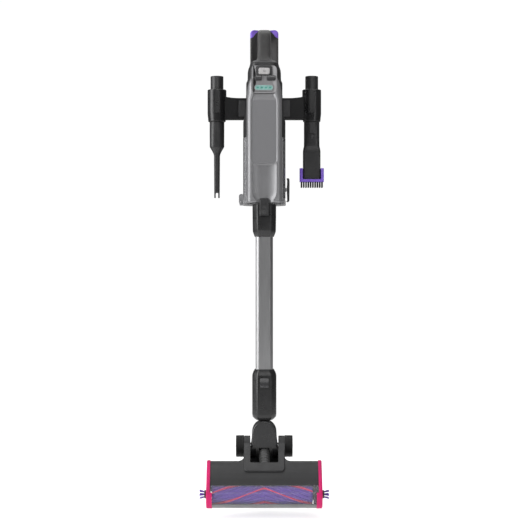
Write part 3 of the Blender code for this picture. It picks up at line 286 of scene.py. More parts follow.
def moulded(name, colour, roughness, depth=0.12, wear=0.25, coat=0.0, index=1.5):
    """Moulded plastic: fine spark-eroded grain, faint mottling and edges that have been handled."""
    recipe = Recipe(name)
    recipe.set(IOR=index, Coat_Weight=coat, Coat_Roughness=0.12)
    cloud = recipe.noise(26.0, 4.0)
    fine = recipe.noise(2600.0, 2.0)
    tone = recipe.colours(cloud, colour, 0.9, 1.08)
    tone = recipe.worn(tone, shade(colour, 2.2), wear)
    rough = recipe.range(recipe.noise(60.0, 5.0), roughness - 0.06, roughness + 0.07)
    return recipe.finish(tone, rough, recipe.bump(fine, depth))


def lacquer(name, colour, roughness, metallic):
    """Metallic lacquer: tiny flakes under a clear coat, with faint ripple."""
    recipe = Recipe(name)
    recipe.set(Metallic=metallic, IOR=1.45, Coat_Weight=0.12, Coat_Roughness=0.22)
    flakes = recipe.noise(3200.0, 1.0)
    tone = recipe.colours(flakes, colour, 0.88, 1.14)
    tone = recipe.worn(tone, shade(colour, 1.5), 0.3)
    rough = recipe.range(recipe.noise(45.0, 4.0), roughness - 0.04, roughness + 0.06)
    ripple = recipe.bump(recipe.noise(220.0, 2.0), 0.03)
    return recipe.finish(tone, rough, ripple)


def brushed(name, colour, roughness, stretch=(60.0, 60.0, 1.0)):
    """Metal with fine lines along one axis, as drawn or turned."""
    recipe = Recipe(name)
    recipe.set(Metallic=1.0)
    lines = recipe.noise(40.0, 6.0, stretch)
    tone = recipe.colours(lines, colour, 0.92, 1.07)
    rough = recipe.range(lines, roughness - 0.05, roughness + 0.08)
    return recipe.finish(tone, rough, recipe.bump(lines, 0.06, 0.0002))


def see_through(name, colour, alpha, roughness):
    """Clear moulded plastic: partly transparent, glossy, with faint flow marks and fine scratches."""
    recipe = Recipe(name)
    recipe.set(IOR=1.49, Alpha=alpha, Coat_Weight=0.6, Coat_Roughness=0.05)
    flow = recipe.noise(18.0, 3.0, (1.0, 1.0, 0.25))
    tone = recipe.colours(flow, colour, 0.93, 1.06)
    scratches = recipe.noise(240.0, 3.0, (6.0, 6.0, 0.4))
    rough = recipe.range(scratches, roughness - 0.03, roughness + 0.06)
    return recipe.finish(tone, rough, recipe.bump(flow, 0.05))


def grippy(name, colour, sheen=0.15, index=1.45):
    """Soft-touch rubber: matt, with a fine pebble and a dusty mottling."""
    recipe = Recipe(name)
    recipe.set(IOR=index, Sheen_Weight=sheen, Sheen_Roughness=0.5)
    pebble = recipe.noise(1500.0, 2.0, kind="ShaderNodeTexVoronoi")
    tone = recipe.colours(recipe.noise(34.0, 5.0), colour, 0.88, 1.12)
    tone = recipe.worn(tone, shade(colour, 1.8), 0.2)
    rough = recipe.range(recipe.noise(80.0, 4.0), 0.5, 0.66)
    return recipe.finish(tone, rough, recipe.bump(pebble, 0.2, 0.0003))


def bristled(name, colour):
    """Dyed nylon bristle: streaks of tone along the fibres and a soft sheen."""
    recipe = Recipe(name)
    recipe.set(IOR=1.4, Sheen_Weight=0.06, Sheen_Roughness=0.4)
    streaks = recipe.noise(300.0, 4.0, (1.0, 3.0, 3.0))
    tone = recipe.colours(streaks, colour, 0.7, 1.3)
    rough = recipe.range(streaks, 0.45, 0.7)
    return recipe.finish(tone, rough, recipe.bump(streaks, 0.35, 0.0006))


def glowing(name, colour, strength):
    """A lit lens: coloured light behind a smooth diffuser with a faint pattern."""
    recipe = Recipe(name)
    cloud = recipe.noise(160.0, 3.0)
    tone = recipe.colours(cloud, colour, 0.85, 1.1)
    recipe.link(tone, recipe.shader.inputs["Emission Color"])
    recipe.set(Emission_Strength=strength, IOR=1.49)
    rough = recipe.range(recipe.noise(90.0, 3.0), 0.15, 0.3)
    return recipe.finish(tone, rough, recipe.bump(cloud, 0.02))


LOOKS = {                       # how each look is made
    "black_plastic": lambda name: moulded(name, (0.02, 0.02, 0.021), 0.42),
    "bracket_plastic": lambda name: moulded(name, (0.0045, 0.0045, 0.005), 0.38, index=1.36),
    # lighter than the bracket: paints the highlight on the bar's arm plates
    "insert_plastic": lambda name: moulded(name, (0.026, 0.026, 0.028), 0.42),
    "lip_grey": lambda name: moulded(name, (0.17, 0.17, 0.173), 0.44, depth=0.08, wear=0.1),
    "fork_plastic": lambda name: moulded(name, (0.015, 0.015, 0.016), 0.3, depth=0.08, coat=0.15),
    "sleeve_plastic": lambda name: moulded(name, (0.012, 0.012, 0.0125), 0.3, depth=0.06),
    "head_plastic": lambda name: moulded(name, (0.0145, 0.0145, 0.0155), 0.46, depth=0.18),
    "dark_gloss": lambda name: moulded(name, (0.036, 0.036, 0.038), 0.24, depth=0.03, coat=0.4),
    "soft_grip": lambda name: grippy(name, (0.038, 0.037, 0.037)),
    "grey_metallic": lambda name: lacquer(name, (0.215, 0.215, 0.222), 0.4, 0.42),
    "grey_satin": lambda name: lacquer(name, (0.165, 0.165, 0.172), 0.46, 0.25),
    "panel_grey": lambda name: moulded(name, (0.245, 0.243, 0.25), 0.44, depth=0.08, wear=0.1),
    "white_plastic": lambda name: moulded(name, (0.42, 0.41, 0.41), 0.35, depth=0.04, wear=0.05),
    "display": lambda name: glowing(name, (0.22, 0.4, 0.37), 0.06),
    "segment": lambda name: glowing(name, (0.07, 0.26, 0.22), 0.05),
    "purple_plastic": lambda name: moulded(name, (0.235, 0.13, 0.68), 0.38, depth=0.06, wear=0.1),
    "pink_plastic": lambda name: moulded(name, (0.54, 0.017, 0.125), 0.5, depth=0.05, wear=0.05, index=1.28),
    "smoke_clear": lambda name: see_through(name, (0.27, 0.27, 0.28), 0.62, 0.12),
    "clear": lambda name: see_through(name, (0.34, 0.34, 0.38), 0.12, 0.06),
    "aluminium": lambda name: brushed(name, (0.37, 0.37, 0.376), 0.36),
    "steel": lambda name: brushed(name, (0.55, 0.55, 0.56), 0.3, (1.0, 60.0, 60.0)),
    "rubber": lambda name: grippy(name, (0.01, 0.01, 0.01), 0.02, 1.38),
    "hose_rubber": lambda name: grippy(name, (0.1, 0.1, 0.1), 0.15, 1.5),
    "filter": lambda name: bristled(name, (0.62, 0.61, 0.57)),
    "board_green": lambda name: moulded(name, (0.02, 0.18, 0.08), 0.45),
    "purple_bristle": lambda name: bristled(name, (0.165, 0.072, 0.46)),
    "pink_strip": lambda name: bristled(name, (0.78, 0.03, 0.13)),
    "black_bristle": lambda name: bristled(name, (0.006, 0.006, 0.0065)),
    "led": lambda name: glowing(name, (0.9, 0.9, 0.95), 1.2),
}
made_looks = {}


def look(name):
    """The named material, made once."""
    if name not in made_looks:
        made_looks[name] = LOOKS[name](name)
    return made_looks[name]


# ---------------------------------------------------------------- mesh helpers
FINE = 96                       # points round a large section
SMALL = 48                      # points round a small section
SHARP_ANGLE = radians(38)       # edges sharper than this are rounded and shaded apart
GOLDEN_TURN = 2.399963          # spreads the bristles of a tuft evenly over its foot


def dress(thing, name, body, replaced=(), bevel=0.0, segments=3):
    """Shade a piece, give it its material, its edge rounding and the body it rides on."""
    thing.data.materials.clear()
    thing.data.materials.append(look(name))
    thing.data.shade_smooth()
    thing.data.set_sharp_from_angle(angle=SHARP_ANGLE)
    if bevel:
        rounding = thing.modifiers.new("edges", "BEVEL")
        rounding.width = bevel
        rounding.segments = segments
        rounding.limit_method = "ANGLE"
        rounding.angle_limit = SHARP_ANGLE
        rounding.use_clamp_overlap = True
        thing.data.shade_smooth()
        settle = thing.modifiers.new("shading", "WEIGHTED_NORMAL")
        settle.keep_sharp = True
    if body:
        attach(thing, body)
    if replaced:
        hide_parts(*replaced)
    return thing


def mesh_object(name, points, faces, at=WORLD):
    """A closed mesh object, its faces turned outwards."""
    mesh = bpy.data.meshes.new(name)
    mesh.from_pydata([at @ Vector(point) for point in points], [], faces)
    work = bmesh.new()
    work.from_mesh(mesh)
    bmesh.ops.remove_doubles(work, verts=work.verts, dist=1e-7)
    bmesh.ops.recalc_face_normals(work, faces=work.faces)
    work.to_mesh(mesh)
    work.free()
    thing = bpy.data.objects.new(name, mesh)
    bpy.context.scene.collection.objects.link(thing)
    return thing


def skin_faces(count, size, hollow):
    """Faces over count rings of size points each."""
    faces = []
    for level in range(count if hollow else count - 1):
        low = level * size
        high = ((level + 1) % count) * size
        for step in range(size):
            after = (step + 1) % size
            faces.append((low + step, low + after, high + after, high + step))
    if not hollow:
        faces.append(tuple(reversed(range(size))))
        faces.append(tuple(range((count - 1) * size, count * size)))
    return faces


def skin(name, rings, at=WORLD, hollow=False):
    """A skin over rings of equal length, capped or closed into a hollow ring."""
    points = [point for ring in rings for point in ring]
    return mesh_object(name, points, skin_faces(len(rings), len(rings[0]), hollow), at)


def add_bristle(points, faces, ends, corners, sideways):
    """Add a tapering bristle between two ends of (place, radius), across Z or, sideways, across X."""
    first = len(points)
    for place, radius in ends:
        for corner in range(corners):
            spin = 2 * pi * corner / corners
            a, b = radius * cos(spin), radius * sin(spin)
            points.append(place + (Vector((0, a, b)) if sideways else Vector((a, b, 0))))
    for corner in range(corners):
        after = first + (corner + 1) % corners
        faces.append((first + corner, after, corners + after, first + corners + corner))
    faces.append(tuple(reversed(range(first, first + corners))))
    faces.append(tuple(range(first + corners, first + 2 * corners)))


def joined(name, parts):
    """Several meshes made one object."""
    work = bmesh.new()
    for part in parts:
        work.from_mesh(part.data)
        bpy.data.objects.remove(part, do_unlink=True)
    mesh = bpy.data.meshes.new(name)
    work.to_mesh(mesh)
    work.free()
    thing = bpy.data.objects.new(name, mesh)
    bpy.context.scene.collection.objects.link(thing)
    return thing


def carve(target, tool, operation="DIFFERENCE"):
    """Apply a Boolean to target's mesh and remove the tool."""
    step = target.modifiers.new("carve", "BOOLEAN")
    step.operation = operation
    step.solver = "EXACT"
    step.object = tool
    view = bpy.context.evaluated_depsgraph_get()
    carved = bpy.data.meshes.new_from_object(target.evaluated_get(view))
    target.modifiers.clear()
    target.data = carved
    bpy.data.objects.remove(tool, do_unlink=True)
    return target


def fused(target, *tools):
    """Join shapes into one skin."""
    for tool in tools:
        carve(target, tool, "UNION")
    return target


def both(half, middle=0.0):
    """The two ends of a span, half to each side of its middle."""
    return (middle - half, middle + half)


def on_side(side, near, far):
    """The span from near to far, put on the left (side -1) or on the right (1)."""
    return sorted((side * near, side * far))


AXES = {
    "X": lambda a, b, h: (h, a, b),
    "Y": lambda a, b, h: (a, h, b),
    "Z": lambda a, b, h: (a, b, h),
}


def oval(half_a, half_b, centre=(0.0, 0.0), power=2.0, sides=FINE):
    """Points of an oval; a power above 2 squares it."""
    points = []
    for step in range(sides):
        turn = 2 * pi * (step + 0.5) / sides
        a = abs(cos(turn)) ** (2 / power)
        b = abs(sin(turn)) ** (2 / power)
        points.append((centre[0] + (half_a * a if cos(turn) > 0 else -half_a * a),
                       centre[1] + (half_b * b if sin(turn) > 0 else -half_b * b)))
    return points


def deep_oval(half, front, back, power, sides, height):
    """A level oval from front to back."""
    return level(oval(half, (back - front) / 2, (0, (front + back) / 2), power, sides), height)


def arc(centre, radius_a, radius_b, start, end, steps):
    """Points along an oval arc, angles in degrees."""
    turns = [radians(start + (end - start) * step / steps) for step in range(steps + 1)]
    return [(centre[0] + radius_a * cos(a), centre[1] + radius_b * sin(a)) for a in turns]


def rounded(half_a, half_b, radius, centre, steps=8):
    """Points of a rectangle with round corners."""
    points = []
    for corner, (side_a, side_b) in enumerate(((1, 1), (-1, 1), (-1, -1), (1, -1))):
        middle_a = centre[0] + side_a * (half_a - radius)
        middle_b = centre[1] + side_b * (half_b - radius)
        points += arc((middle_a, middle_b), radius, radius, corner * 90, corner * 90 + 90, steps)
    return points


def level(outline, height, axis="Z"):
    """Lift a flat outline to a height along an axis."""
    return [AXES[axis](a, b, height) for a, b in outline]


def prism(name, outline, axis, low, high, at=WORLD):
    """A flat outline pulled along an axis."""
    return skin(name, [level(outline, low, axis), level(outline, high, axis)], at)


def box(name, xs, ys, zs, at=WORLD, radius=0.0008):
    """A box with small round upright corners."""
    half = ((xs[1] - xs[0]) / 2, (ys[1] - ys[0]) / 2)
    outline = rounded(*half, radius, ((xs[0] + xs[1]) / 2, (ys[0] + ys[1]) / 2), 3)
    return prism(name, outline, "Z", zs[0], zs[1], at)


def plate(name, xs, zs, ys, radius, at=WORLD, steps=10):
    """An upright plate with round corners, ys its front and back."""
    half = ((xs[1] - xs[0]) / 2, (zs[1] - zs[0]) / 2)
    outline = rounded(*half, radius, ((xs[0] + xs[1]) / 2, (zs[0] + zs[1]) / 2), steps)
    return prism(name, outline, "Y", ys[0], ys[1], at)


def turned(name, profile, axis, centre=(0.0, 0.0), at=WORLD, hollow=False, sides=64):
    """A profile of (radius, height) pairs turned about an axis through centre."""
    rings = [level(oval(radius, radius, centre, 2.0, sides), height, axis) for radius, height in profile]
    return skin(name, rings, at, hollow)


def rod(name, radius, axis, centre, low, high, at=WORLD, sides=48):
    """A plain round rod, for cutters and pins."""
    return turned(name, [(radius, low), (radius, high)], axis, centre, at, False, sides)


def smoothed(stations, per_span):
    """Numbers between stations, eased with a curve that passes through each one."""
    found = []
    last = len(stations) - 1
    for index in range(last):
        before = stations[max(index - 1, 0)]
        here = stations[index]
        after = stations[index + 1]
        beyond = stations[min(index + 2, last)]
        for step in range(per_span):
            t = step / per_span
            row = []
            for a, b, c, d in zip(before, here, after, beyond):
                bend = 2 * a - 5 * b + 4 * c - d + t * (3 * (b - c) + d - a)
                row.append(b + 0.5 * t * (c - a + t * bend))
            found.append(tuple(row))
    found.append(tuple(stations[-1]))
    return found


def remake(node, name, body, bevel):
    """A finer copy of a CAD node: its own mesh, welded, with rounded edges."""
    work = bmesh.new()
    work.from_mesh(frame["nodes"][node].data)
    bmesh.ops.remove_doubles(work, verts=work.verts, dist=1e-6)
    bmesh.ops.dissolve_limit(work, angle_limit=radians(1), verts=work.verts, edges=work.edges)
    mesh = bpy.data.meshes.new(node + "_fine")
    work.to_mesh(mesh)
    work.free()
    thing = bpy.data.objects.new(node + "_fine", mesh)
    bpy.context.scene.collection.objects.link(thing)
    return dress(thing, name, body, (node,), bevel, 2)


# ---------------------------------------------------------------- wall bracket and tools
SLEEVE_Z = (-0.0338, 0.0427)
SLEEVE_BORE = 0.016
COLLAR_R = 0.01535
COLLAR_TOP = 0.0748
NOZZLE = (0.021, 0.0068)       # half width and depth of the brush tool's flat end


def make_bracket():
    """The wall plate, its screws, the cross bar, the hook and the two sleeves."""
    remake("wall_plate", "black_plastic", "wall_bracket", 0.0012)
    remake("dock_hook", "black_plastic", "wall_bracket", 0.0005)
    remake("wall_screw_upper", "steel", "wall_bracket", 0.0002)
    remake("wall_screw_lower", "steel", "wall_bracket", 0.0002)
    make_tool_bar()
    make_sleeve("left_tool_sleeve", LEFT_TOOL)
    make_sleeve("right_tool_sleeve", RIGHT_TOOL)


def make_tool_bar():
    """The cross bar with its flared ends, a raised panel on each arm and rounded edges; a lighter plate on
    each arm paints the highlight on its step.
    """
    low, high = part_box("tool_bar")
    front, back = low[1], high[1]
    inner = 0.06
    rise = [t / 10 for t in range(11)]
    top = [(inner + (TOOL_X - inner) * t, 0.022 + 0.009 * t ** 2) for t in rise]
    right = [(TOOL_X, -0.028)] + top[::-1]
    outline = right + [(-x, z) for x, z in reversed(right)]
    bar = prism("tool_bar_fine", outline, "Y", front, back)
    for side in (-1, 1):
        carve(bar, rod("bar_end", 0.0222, "Z", (side * TOOL_X, TOOL_Y), -0.08, 0.08, sides=72))
        span = on_side(side, 0.044, 0.064)
        carve(bar, plate("bar_step", span, (-0.0225, 0.017), (front - 0.01, front + 0.0016), 0.002))
    dress(bar, "bracket_plastic", "wall_bracket", ("tool_bar",), 0.0018, 4)
    # lighter plates set in each arm's step: painted highlight, standing in for the light on the steps
    highlight_plates = []
    for side in (-1, 1):
        span = on_side(side, 0.0444, 0.0612)
        highlight_plates.append(plate("bar_insert", span, (-0.0222, 0.0167), (front + 0.0002, front + 0.0012), 0.002))
    dress(joined("bar_inserts", highlight_plates), "insert_plastic", "wall_bracket", (), 0.0003, 2)


def make_sleeve(node, at):
    """A sleeve with soft rims and a raised spine down its front."""
    low, high = SLEEVE_Z
    rim = arc((0.0205, high - 0.002), 0.002, 0.002, 0, 90, 5)
    foot = arc((0.019, low + 0.0018), 0.0018, 0.0018, -90, 0, 5)
    bore = [(SLEEVE_BORE + 0.001, high), (SLEEVE_BORE, high - 0.001), (SLEEVE_BORE, low + 0.001),
            (SLEEVE_BORE + 0.001, low)]
    profile = foot + [(0.0222, low + 0.0165), (0.0225, low + 0.0185)] + rim + bore
    sleeve = turned(node + "_shell", profile, "Z", at=at, hollow=True, sides=80)
    spine = oval(0.0105, 0.0035, (0.0, -0.0205), 3.0, SMALL)
    fused(sleeve, prism(node + "_rib", spine, "Z", low + 0.02, high - 0.004, at))
    dress(sleeve, "sleeve_plastic", "wall_bracket", (node,))


def tool_skin(name, stations, at, wall=0.0016):
    """A hollow tool: an outer skin through the stations, and an inner skin inside it."""
    outer = [level(oval(a, b, (0, 0), power, FINE), z) for z, a, b, power in stations]
    inner = [level(oval(a - wall, b - wall, (0, 0), power, FINE), z) for z, a, b, power in stations]
    return skin(name, outer + inner[::-1], at, True)


def collar():
    """Stations of the round collar that both tools share, with a soft rim and a locating step."""
    sizes = ((COLLAR_TOP, 0.0007), (COLLAR_TOP - 0.0003, 0.0002), (COLLAR_TOP - 0.0009, 0.0), (0.003, 0.0),
             (-0.0341, 0.0))
    return [(z, COLLAR_R - inset, COLLAR_R - inset, 2.0) for z, inset in sizes]


def make_crevice_tool():
    """Collar, body, quick taper and a slim blade whose tip is split into two prongs."""
    body = [(-0.0345, 0.0172, 0.0165, 2.2), (-0.035, 0.0175, 0.017, 2.2), (-0.06, 0.0175, 0.0168, 2.3)]
    taper = smoothed([(-0.088, 0.0173, 0.0162, 2.4), (-0.0943, 0.0168, 0.0156, 2.5),
                      (-0.103, 0.0118, 0.0125, 2.8), (-0.1127, 0.0076, 0.01, 3.2),
                      (-0.125, 0.0071, 0.0092, 3.4)], 8)
    blade = [(-0.17, 0.0068, 0.0078, 3.4), (-0.2148, 0.0065, 0.0066, 3.4), (-0.2155, 0.0061, 0.0062, 3.4)]
    tool = tool_skin("crevice_tool_fine", collar() + body + taper + blade, LEFT_TOOL)
    carve(tool, plate("notch", both(0.0031), (-0.23, -0.203), both(0.02), 0.003, LEFT_TOOL))
    carve(tool, plate("step_line", both(0.0125), (-0.059, -0.058), (-0.03, -0.0162), 0.0004, LEFT_TOOL))
    dress(tool, "black_plastic", "crevice_tool", ("crevice_tool",))


def make_brush_tool():
    """Collar, body, and a flat nozzle with a raised face plate and a small release."""
    body = [(-0.0345, 0.0182, 0.017, 2.3), (-0.035, 0.0185, 0.0175, 2.3)]
    flow = smoothed([(-0.05, 0.0185, 0.0168, 2.4), (-0.0888, 0.0186, 0.0132, 3.0),
                     (-0.0965, 0.0198, 0.0098, 3.8), (-0.104, 0.0209, 0.0074, 4.6),
                     (-0.112, 0.021, 0.007, 5.0)], 8)
    nozzle = [(-0.1697, *NOZZLE, 5.0), (-0.1703, NOZZLE[0] - 0.0005, NOZZLE[1] - 0.0005, 5.0)]
    tool = tool_skin("brush_tool_fine", collar() + body + flow + nozzle, RIGHT_TOOL, 0.0017)
    face = plate("face_plate", both(0.016), (-0.169, -0.106), (-NOZZLE[1] - 0.0003, -NOZZLE[1] + 0.001),
                 0.001, RIGHT_TOOL)
    swell = oval(0.0085, 0.003, (0.0, -0.0158), 3.4, SMALL)
    strip = prism("front_strip", swell, "Z", -0.062, -0.0352, RIGHT_TOOL)
    fused(tool, face, strip)
    dress(tool, "black_plastic", "brush_tool", ("brush_tool",))
    button = plate("brush_tool_button", (-0.0032, 0.0052), (-0.0755, -0.0665), (-0.0172, -0.012), 0.0012,
                   RIGHT_TOOL)
    dress(button, "dark_gloss", "brush_tool", (), 0.0005)


def make_brush_slider():
    """The purple frame, open in front, and two rows of bristle tufts in its lower edge."""
    bore = (NOZZLE[0] + 0.0005, NOZZLE[1] + 0.0006)
    stations = [(-0.1447, 0.0285, 0.01), (-0.1453, 0.029, 0.0105), (-0.164, 0.029, 0.0122),
                (-0.1768, 0.029, 0.0122), (-0.1775, 0.0284, 0.0117)]
    outer = [level(oval(a, b, (0, 0), 6.0, FINE), z) for z, a, b in stations]
    inner = [level(oval(*bore, (0, 0), 6.0, FINE), z) for z in (stations[-1][0], stations[0][0])]
    slider = skin("brush_slider_fine", outer + inner, RIGHT_TOOL, True)
    carve(slider, box("window_cut", both(bore[0] + 0.0004), (-0.03, 0.0), (-0.1712, -0.13), RIGHT_TOOL))
    dress(slider, "purple_plastic", "brush_slider", ("brush_slider",), 0.0005, 2)
    strands = []
    columns = 10
    for row in (-1, 1):
        for column in range(columns):
            x = -0.0245 + 0.049 * column / (columns - 1)
            strands.append(tuft(f"tuft_{row}_{column}", (x, row * 0.0097), -0.1768, 0.0141, 0.0016, 16))
    bristles = joined("tool_bristles", strands)
    bristles.data.transform(RIGHT_TOOL)
    dress(bristles, "black_bristle", "brush_slider")


def tuft(name, foot, top, length, radius, count):
    """A tuft of separate tapering bristles that fan out slightly downwards."""
    points = []
    faces = []
    for number in range(count):
        turn = number * GOLDEN_TURN
        reach = radius * sqrt(number / count)
        start = Vector((foot[0] + reach * cos(turn), foot[1] + reach * sin(turn), top))
        drop = length * (0.96 + 0.04 * cos(3 * turn))
        end = start + Vector((0.1 * reach * cos(turn), 0.1 * reach * sin(turn), -drop))
        add_bristle(points, faces, ((start, 0.00048), (end, 0.00034)), 5, False)
    return mesh_object(name, points, faces)


# ---------------------------------------------------------------- hand unit
BIN_TOP = -0.0788               # heights in metres above the world's origin
BIN_R = 0.049
BIN_BOTTOM = -0.233
PANEL_HALF = 0.0292
PANEL_Z = (0.0158, 0.08)
COLUMN_HALF = 0.033
COLUMN_Y = (0.046, 0.085)
SPINE_FRONT = -0.032
SPINE_EDGE = 0.0403             # half width of the spine cover
INLAY_HALF = 0.0276
INLAY_Z = (-0.143, -0.0003)
SHELL_STATIONS = [              # height, half width, front, back, squareness of the upper housing
    (0.0156, 0.0418, -0.03, 0.084, 4.5), (0.04, 0.0418, -0.03, 0.084, 4.5),
    (0.044, 0.0412, -0.03, 0.084, 4.4), (0.048, 0.0394, -0.03, 0.084, 4.3),
    (0.053, 0.0386, -0.03, 0.084, 4.2), (0.066, 0.0384, -0.0296, 0.0835, 4.2),
    (0.074, 0.0372, -0.029, 0.083, 4.2), (0.079, 0.0352, -0.0284, 0.0825, 4.2),
    (0.084, 0.0335, -0.028, 0.082, 4.2)]
SCOOP = [                       # height, half width and depth of the scoop at the spine's foot
    (-0.233, 0.0185, 0.0074), (-0.229, 0.0204, 0.008), (-0.224, 0.0234, 0.0085), (-0.218, 0.0264, 0.0088),
    (-0.211, 0.028, 0.0089), (-0.204, 0.0284, 0.0089), (-0.17, 0.0284, 0.0088), (-0.148, 0.0284, 0.0082),
    (-0.1452, 0.0284, 0.0066), (-0.1443, 0.0284, 0.0004)]
SPINE_OUTLINE = [               # height and half width of the spine cover
    (-0.233, 0.038), (-0.2322, 0.0388), (-0.23, 0.0396), (-0.226, 0.0401), (-0.22, SPINE_EDGE),
    (0.01, SPINE_EDGE), (0.02, 0.0396), (0.03, 0.038), (0.038, 0.0358), (0.045, 0.033), (0.05, 0.0303)]


def eased(value, low, high):
    """0 before low, 1 after high, with a soft turn at both."""
    share = min(max((value - low) / (high - low), 0.0), 1.0)
    return share * share * (3 - 2 * share)


def between(stations, height):
    """The row of numbers at a height, read off straight lines between stations."""
    for low, high in zip(stations, stations[1:]):
        if height <= high[0]:
            share = max(0.0, (height - low[0]) / (high[0] - low[0]))
            return [a + (b - a) * share for a, b in zip(low, high)]
    return list(stations[-1])


def shell_front(x, height):
    """How far forward the upper housing stands at x and a height."""
    _, half, front, back, power = between(SHELL_STATIONS, height)
    share = min(abs(x) / half, 0.999) ** power
    return (front + back) / 2 - (back - front) / 2 * (1 - share) ** (1 / power)


def make_housing():
    """The round lower housing, the squarer shoulders above it, and the dished recess of the panel."""
    lower = [(BIN_TOP + 0.0003, 0.049, 0.0006, 0.099, 2.0), (BIN_TOP + 0.0009, 0.0494, 0.0006, 0.0994, 2.0),
             (-0.042, 0.0494, 0.0006, 0.0994, 2.0), (-0.034, 0.0478, 0.0008, 0.096, 2.1),
             (-0.026, 0.044, 0.0014, 0.0854, 2.1), (0.0, 0.0425, 0.0014, 0.085, 2.3),
             (0.0142, 0.0425, 0.0014, 0.085, 2.6), (0.0148, 0.0422, -0.027, 0.0842, 4.5)]
    rings = []
    for height, half, front, back, power in lower + smoothed(SHELL_STATIONS, 4):
        rings.append(deep_oval(half, front, back, power, 128, height))
    housing = skin("motor_housing_fine", rings, HAND)
    carve(housing, panel_cutter("recess", 0.0003, (-0.05, -0.0215)))
    carve(housing, box("outlet", both(0.0262), (0.0798, 0.095), (0.04, 0.064), HAND))
    carve(housing, box("hook_slot", both(0.0145), (0.0905, 0.11), (-0.06, -0.02), HAND))
    dress(housing, "black_plastic", "hand_unit", ("motor_housing",))


def spine_depth(x, z):
    """How far the spine's front is sunk at x and height z: ramp under the panel, channel and scoop."""
    wide = abs(x)
    ramp = 0.0046 * eased(z, 0.0, PANEL_Z[0]) * (1 - eased(wide, 0.018, 0.0292))
    corner = 0.007
    past_x = max(wide - (INLAY_HALF - corner), 0.0)
    past_top = 0.45 * max(z - (INLAY_Z[1] - corner), 0.0)
    past_low = max((INLAY_Z[0] + corner) - z, 0.0)
    reach = sqrt(past_x ** 2 + max(past_top, past_low) ** 2)
    channel = 0.002 * (1 - eased(reach, corner - 0.0006, corner + 0.0032))
    half, deep = between(SCOOP, z)[1:]
    scoop = 0.0
    if z < SCOOP[-1][0] and wide < half:
        scoop = deep * (1 - (wide / half) ** 2)
    return ramp + max(channel, scoop)


def spine_row(z):
    """One closed section of the spine cover: its sculpted front, then its back against bin and housing."""
    half = between(SPINE_OUTLINE, z)[1]
    columns = 140
    rounding = 0.0125
    front = []
    back = []
    for column in range(columns + 1):
        x = half * sin(pi / 2 * (2 * column / columns - 1))
        past = max(abs(x) - (SPINE_EDGE - rounding), 0.0) / rounding
        plain = SPINE_FRONT + rounding * (1 - sqrt(max(1 - past ** 2, 0.0)))
        horn = shell_front(x, max(z, 0.0156)) - 0.0018 + 0.0012 * eased(abs(x), half - 0.0035, half)
        plain += (horn - plain) * eased(z, -0.002, 0.024)
        plain += 0.0012 * (1 - eased(z, BIN_BOTTOM, BIN_BOTTOM + 0.003))
        y = plain + spine_depth(x, z)
        rest = BIN_Y - sqrt(0.0503 ** 2 - x ** 2) if z < 0.0145 else shell_front(x, z) + 0.0006
        front.append((x, y, z))
        back.append((x, max(rest, y + 0.0008), z))
    return front + back[::-1]


def make_spine():
    """The long metallic cover with horns beside the panel, and the satin inlay in its channel."""
    heights = []
    height = SPINE_OUTLINE[0][0]
    top = SPINE_OUTLINE[-1][0]
    while height < top:
        heights.append(height)
        near = min(abs(height - edge) for edge in (SCOOP[-1][0], INLAY_Z[1], BIN_BOTTOM, SCOOP[-3][0]))
        height += 0.0003 if near < 0.003 else 0.0011
    heights.append(top)
    cover = skin("spine_cover_fine", [spine_row(height) for height in heights], HAND)
    carve(cover, panel_cutter("notch", 0.0001, (-0.06, 0.02)))
    dress(cover, "grey_metallic", "hand_unit", ("spine_cover",))
    inlay = plate("spine_inlay_fine", both(INLAY_HALF + 0.0002), (INLAY_Z[0] + 0.0002, INLAY_Z[1] + 0.0002),
                  (SPINE_FRONT + 0.0017, SPINE_FRONT + 0.0026), 0.007, HAND, 12)
    dress(inlay, "grey_satin", "hand_unit", ("spine_inlay",))


def panel_outline(grow):
    """The panel in front view: round lower corners, and upper corners of which the right is rounder."""
    half = PANEL_HALF + grow
    low = PANEL_Z[0] - grow
    high = PANEL_Z[1] + grow
    points = arc((half - 0.011, high - 0.012), 0.011, 0.012, 0, 90, 12)
    points += arc((-half + 0.007, high - 0.007), 0.007, 0.007, 90, 180, 12)
    points += arc((-half + 0.0112, low + 0.0112), 0.0112, 0.0112, 180, 270, 12)
    return points + arc((half - 0.0112, low + 0.0112), 0.0112, 0.0112, 270, 360, 12)


def panel_cutter(name, grow, ys):
    """A cutter with the panel's outline."""
    return prism(name, panel_outline(grow), "Y", ys[0], ys[1], HAND)


def dish(x, z):
    """The panel's face: sunk flat at the left wall, rising gently to the right and to the foot."""
    right = 1 - eased(x, 0.017, PANEL_HALF)
    foot = eased(z, PANEL_Z[0] - 0.001, PANEL_Z[0] + 0.007)
    return -0.029 + 0.0038 * min(right, foot)


def make_panel():
    """The dished panel, with a dark gap along its left edge and a near-black plate in the gap that paints
    its shade.
    """
    low, high = PANEL_Z
    rings = []
    rows = 60
    for row in range(rows + 1):
        z = low + (high - low) * row / rows
        xs = [PANEL_HALF * (2 * step / 72 - 1) for step in range(73)]
        rings.append([(x, dish(x, z), z) for x in xs] + [(x, -0.0218, z) for x in reversed(xs)])
    panel = skin("control_panel_fine", rings, HAND)
    carve(panel, panel_cutter("panel_shape", -0.0002, (-0.06, 0.0)), "INTERSECT")
    gap = arc((-0.053, 0.047), 0.0342, 0.06, -36, 36, 40)
    carve(panel, prism("shade_gap", gap, "Y", -0.06, 0.0, HAND))
    # a near-black plate at the bottom of the gap: painted shade, darker than the housing behind it
    floor = prism("gap_floor", panel_outline(-0.0004), "Y", -0.0226, -0.0216, HAND)
    carve(floor, prism("floor_shape", gap, "Y", -0.06, 0.0, HAND), "INTERSECT")
    carve(floor, box("button_room", (-0.0226, 0.0), (-0.05, 0.0), (0.0436, 0.0572), HAND))
    dress(floor, "bracket_plastic", "hand_unit")
    dress(panel, "panel_grey", "hand_unit", ("control_panel",))


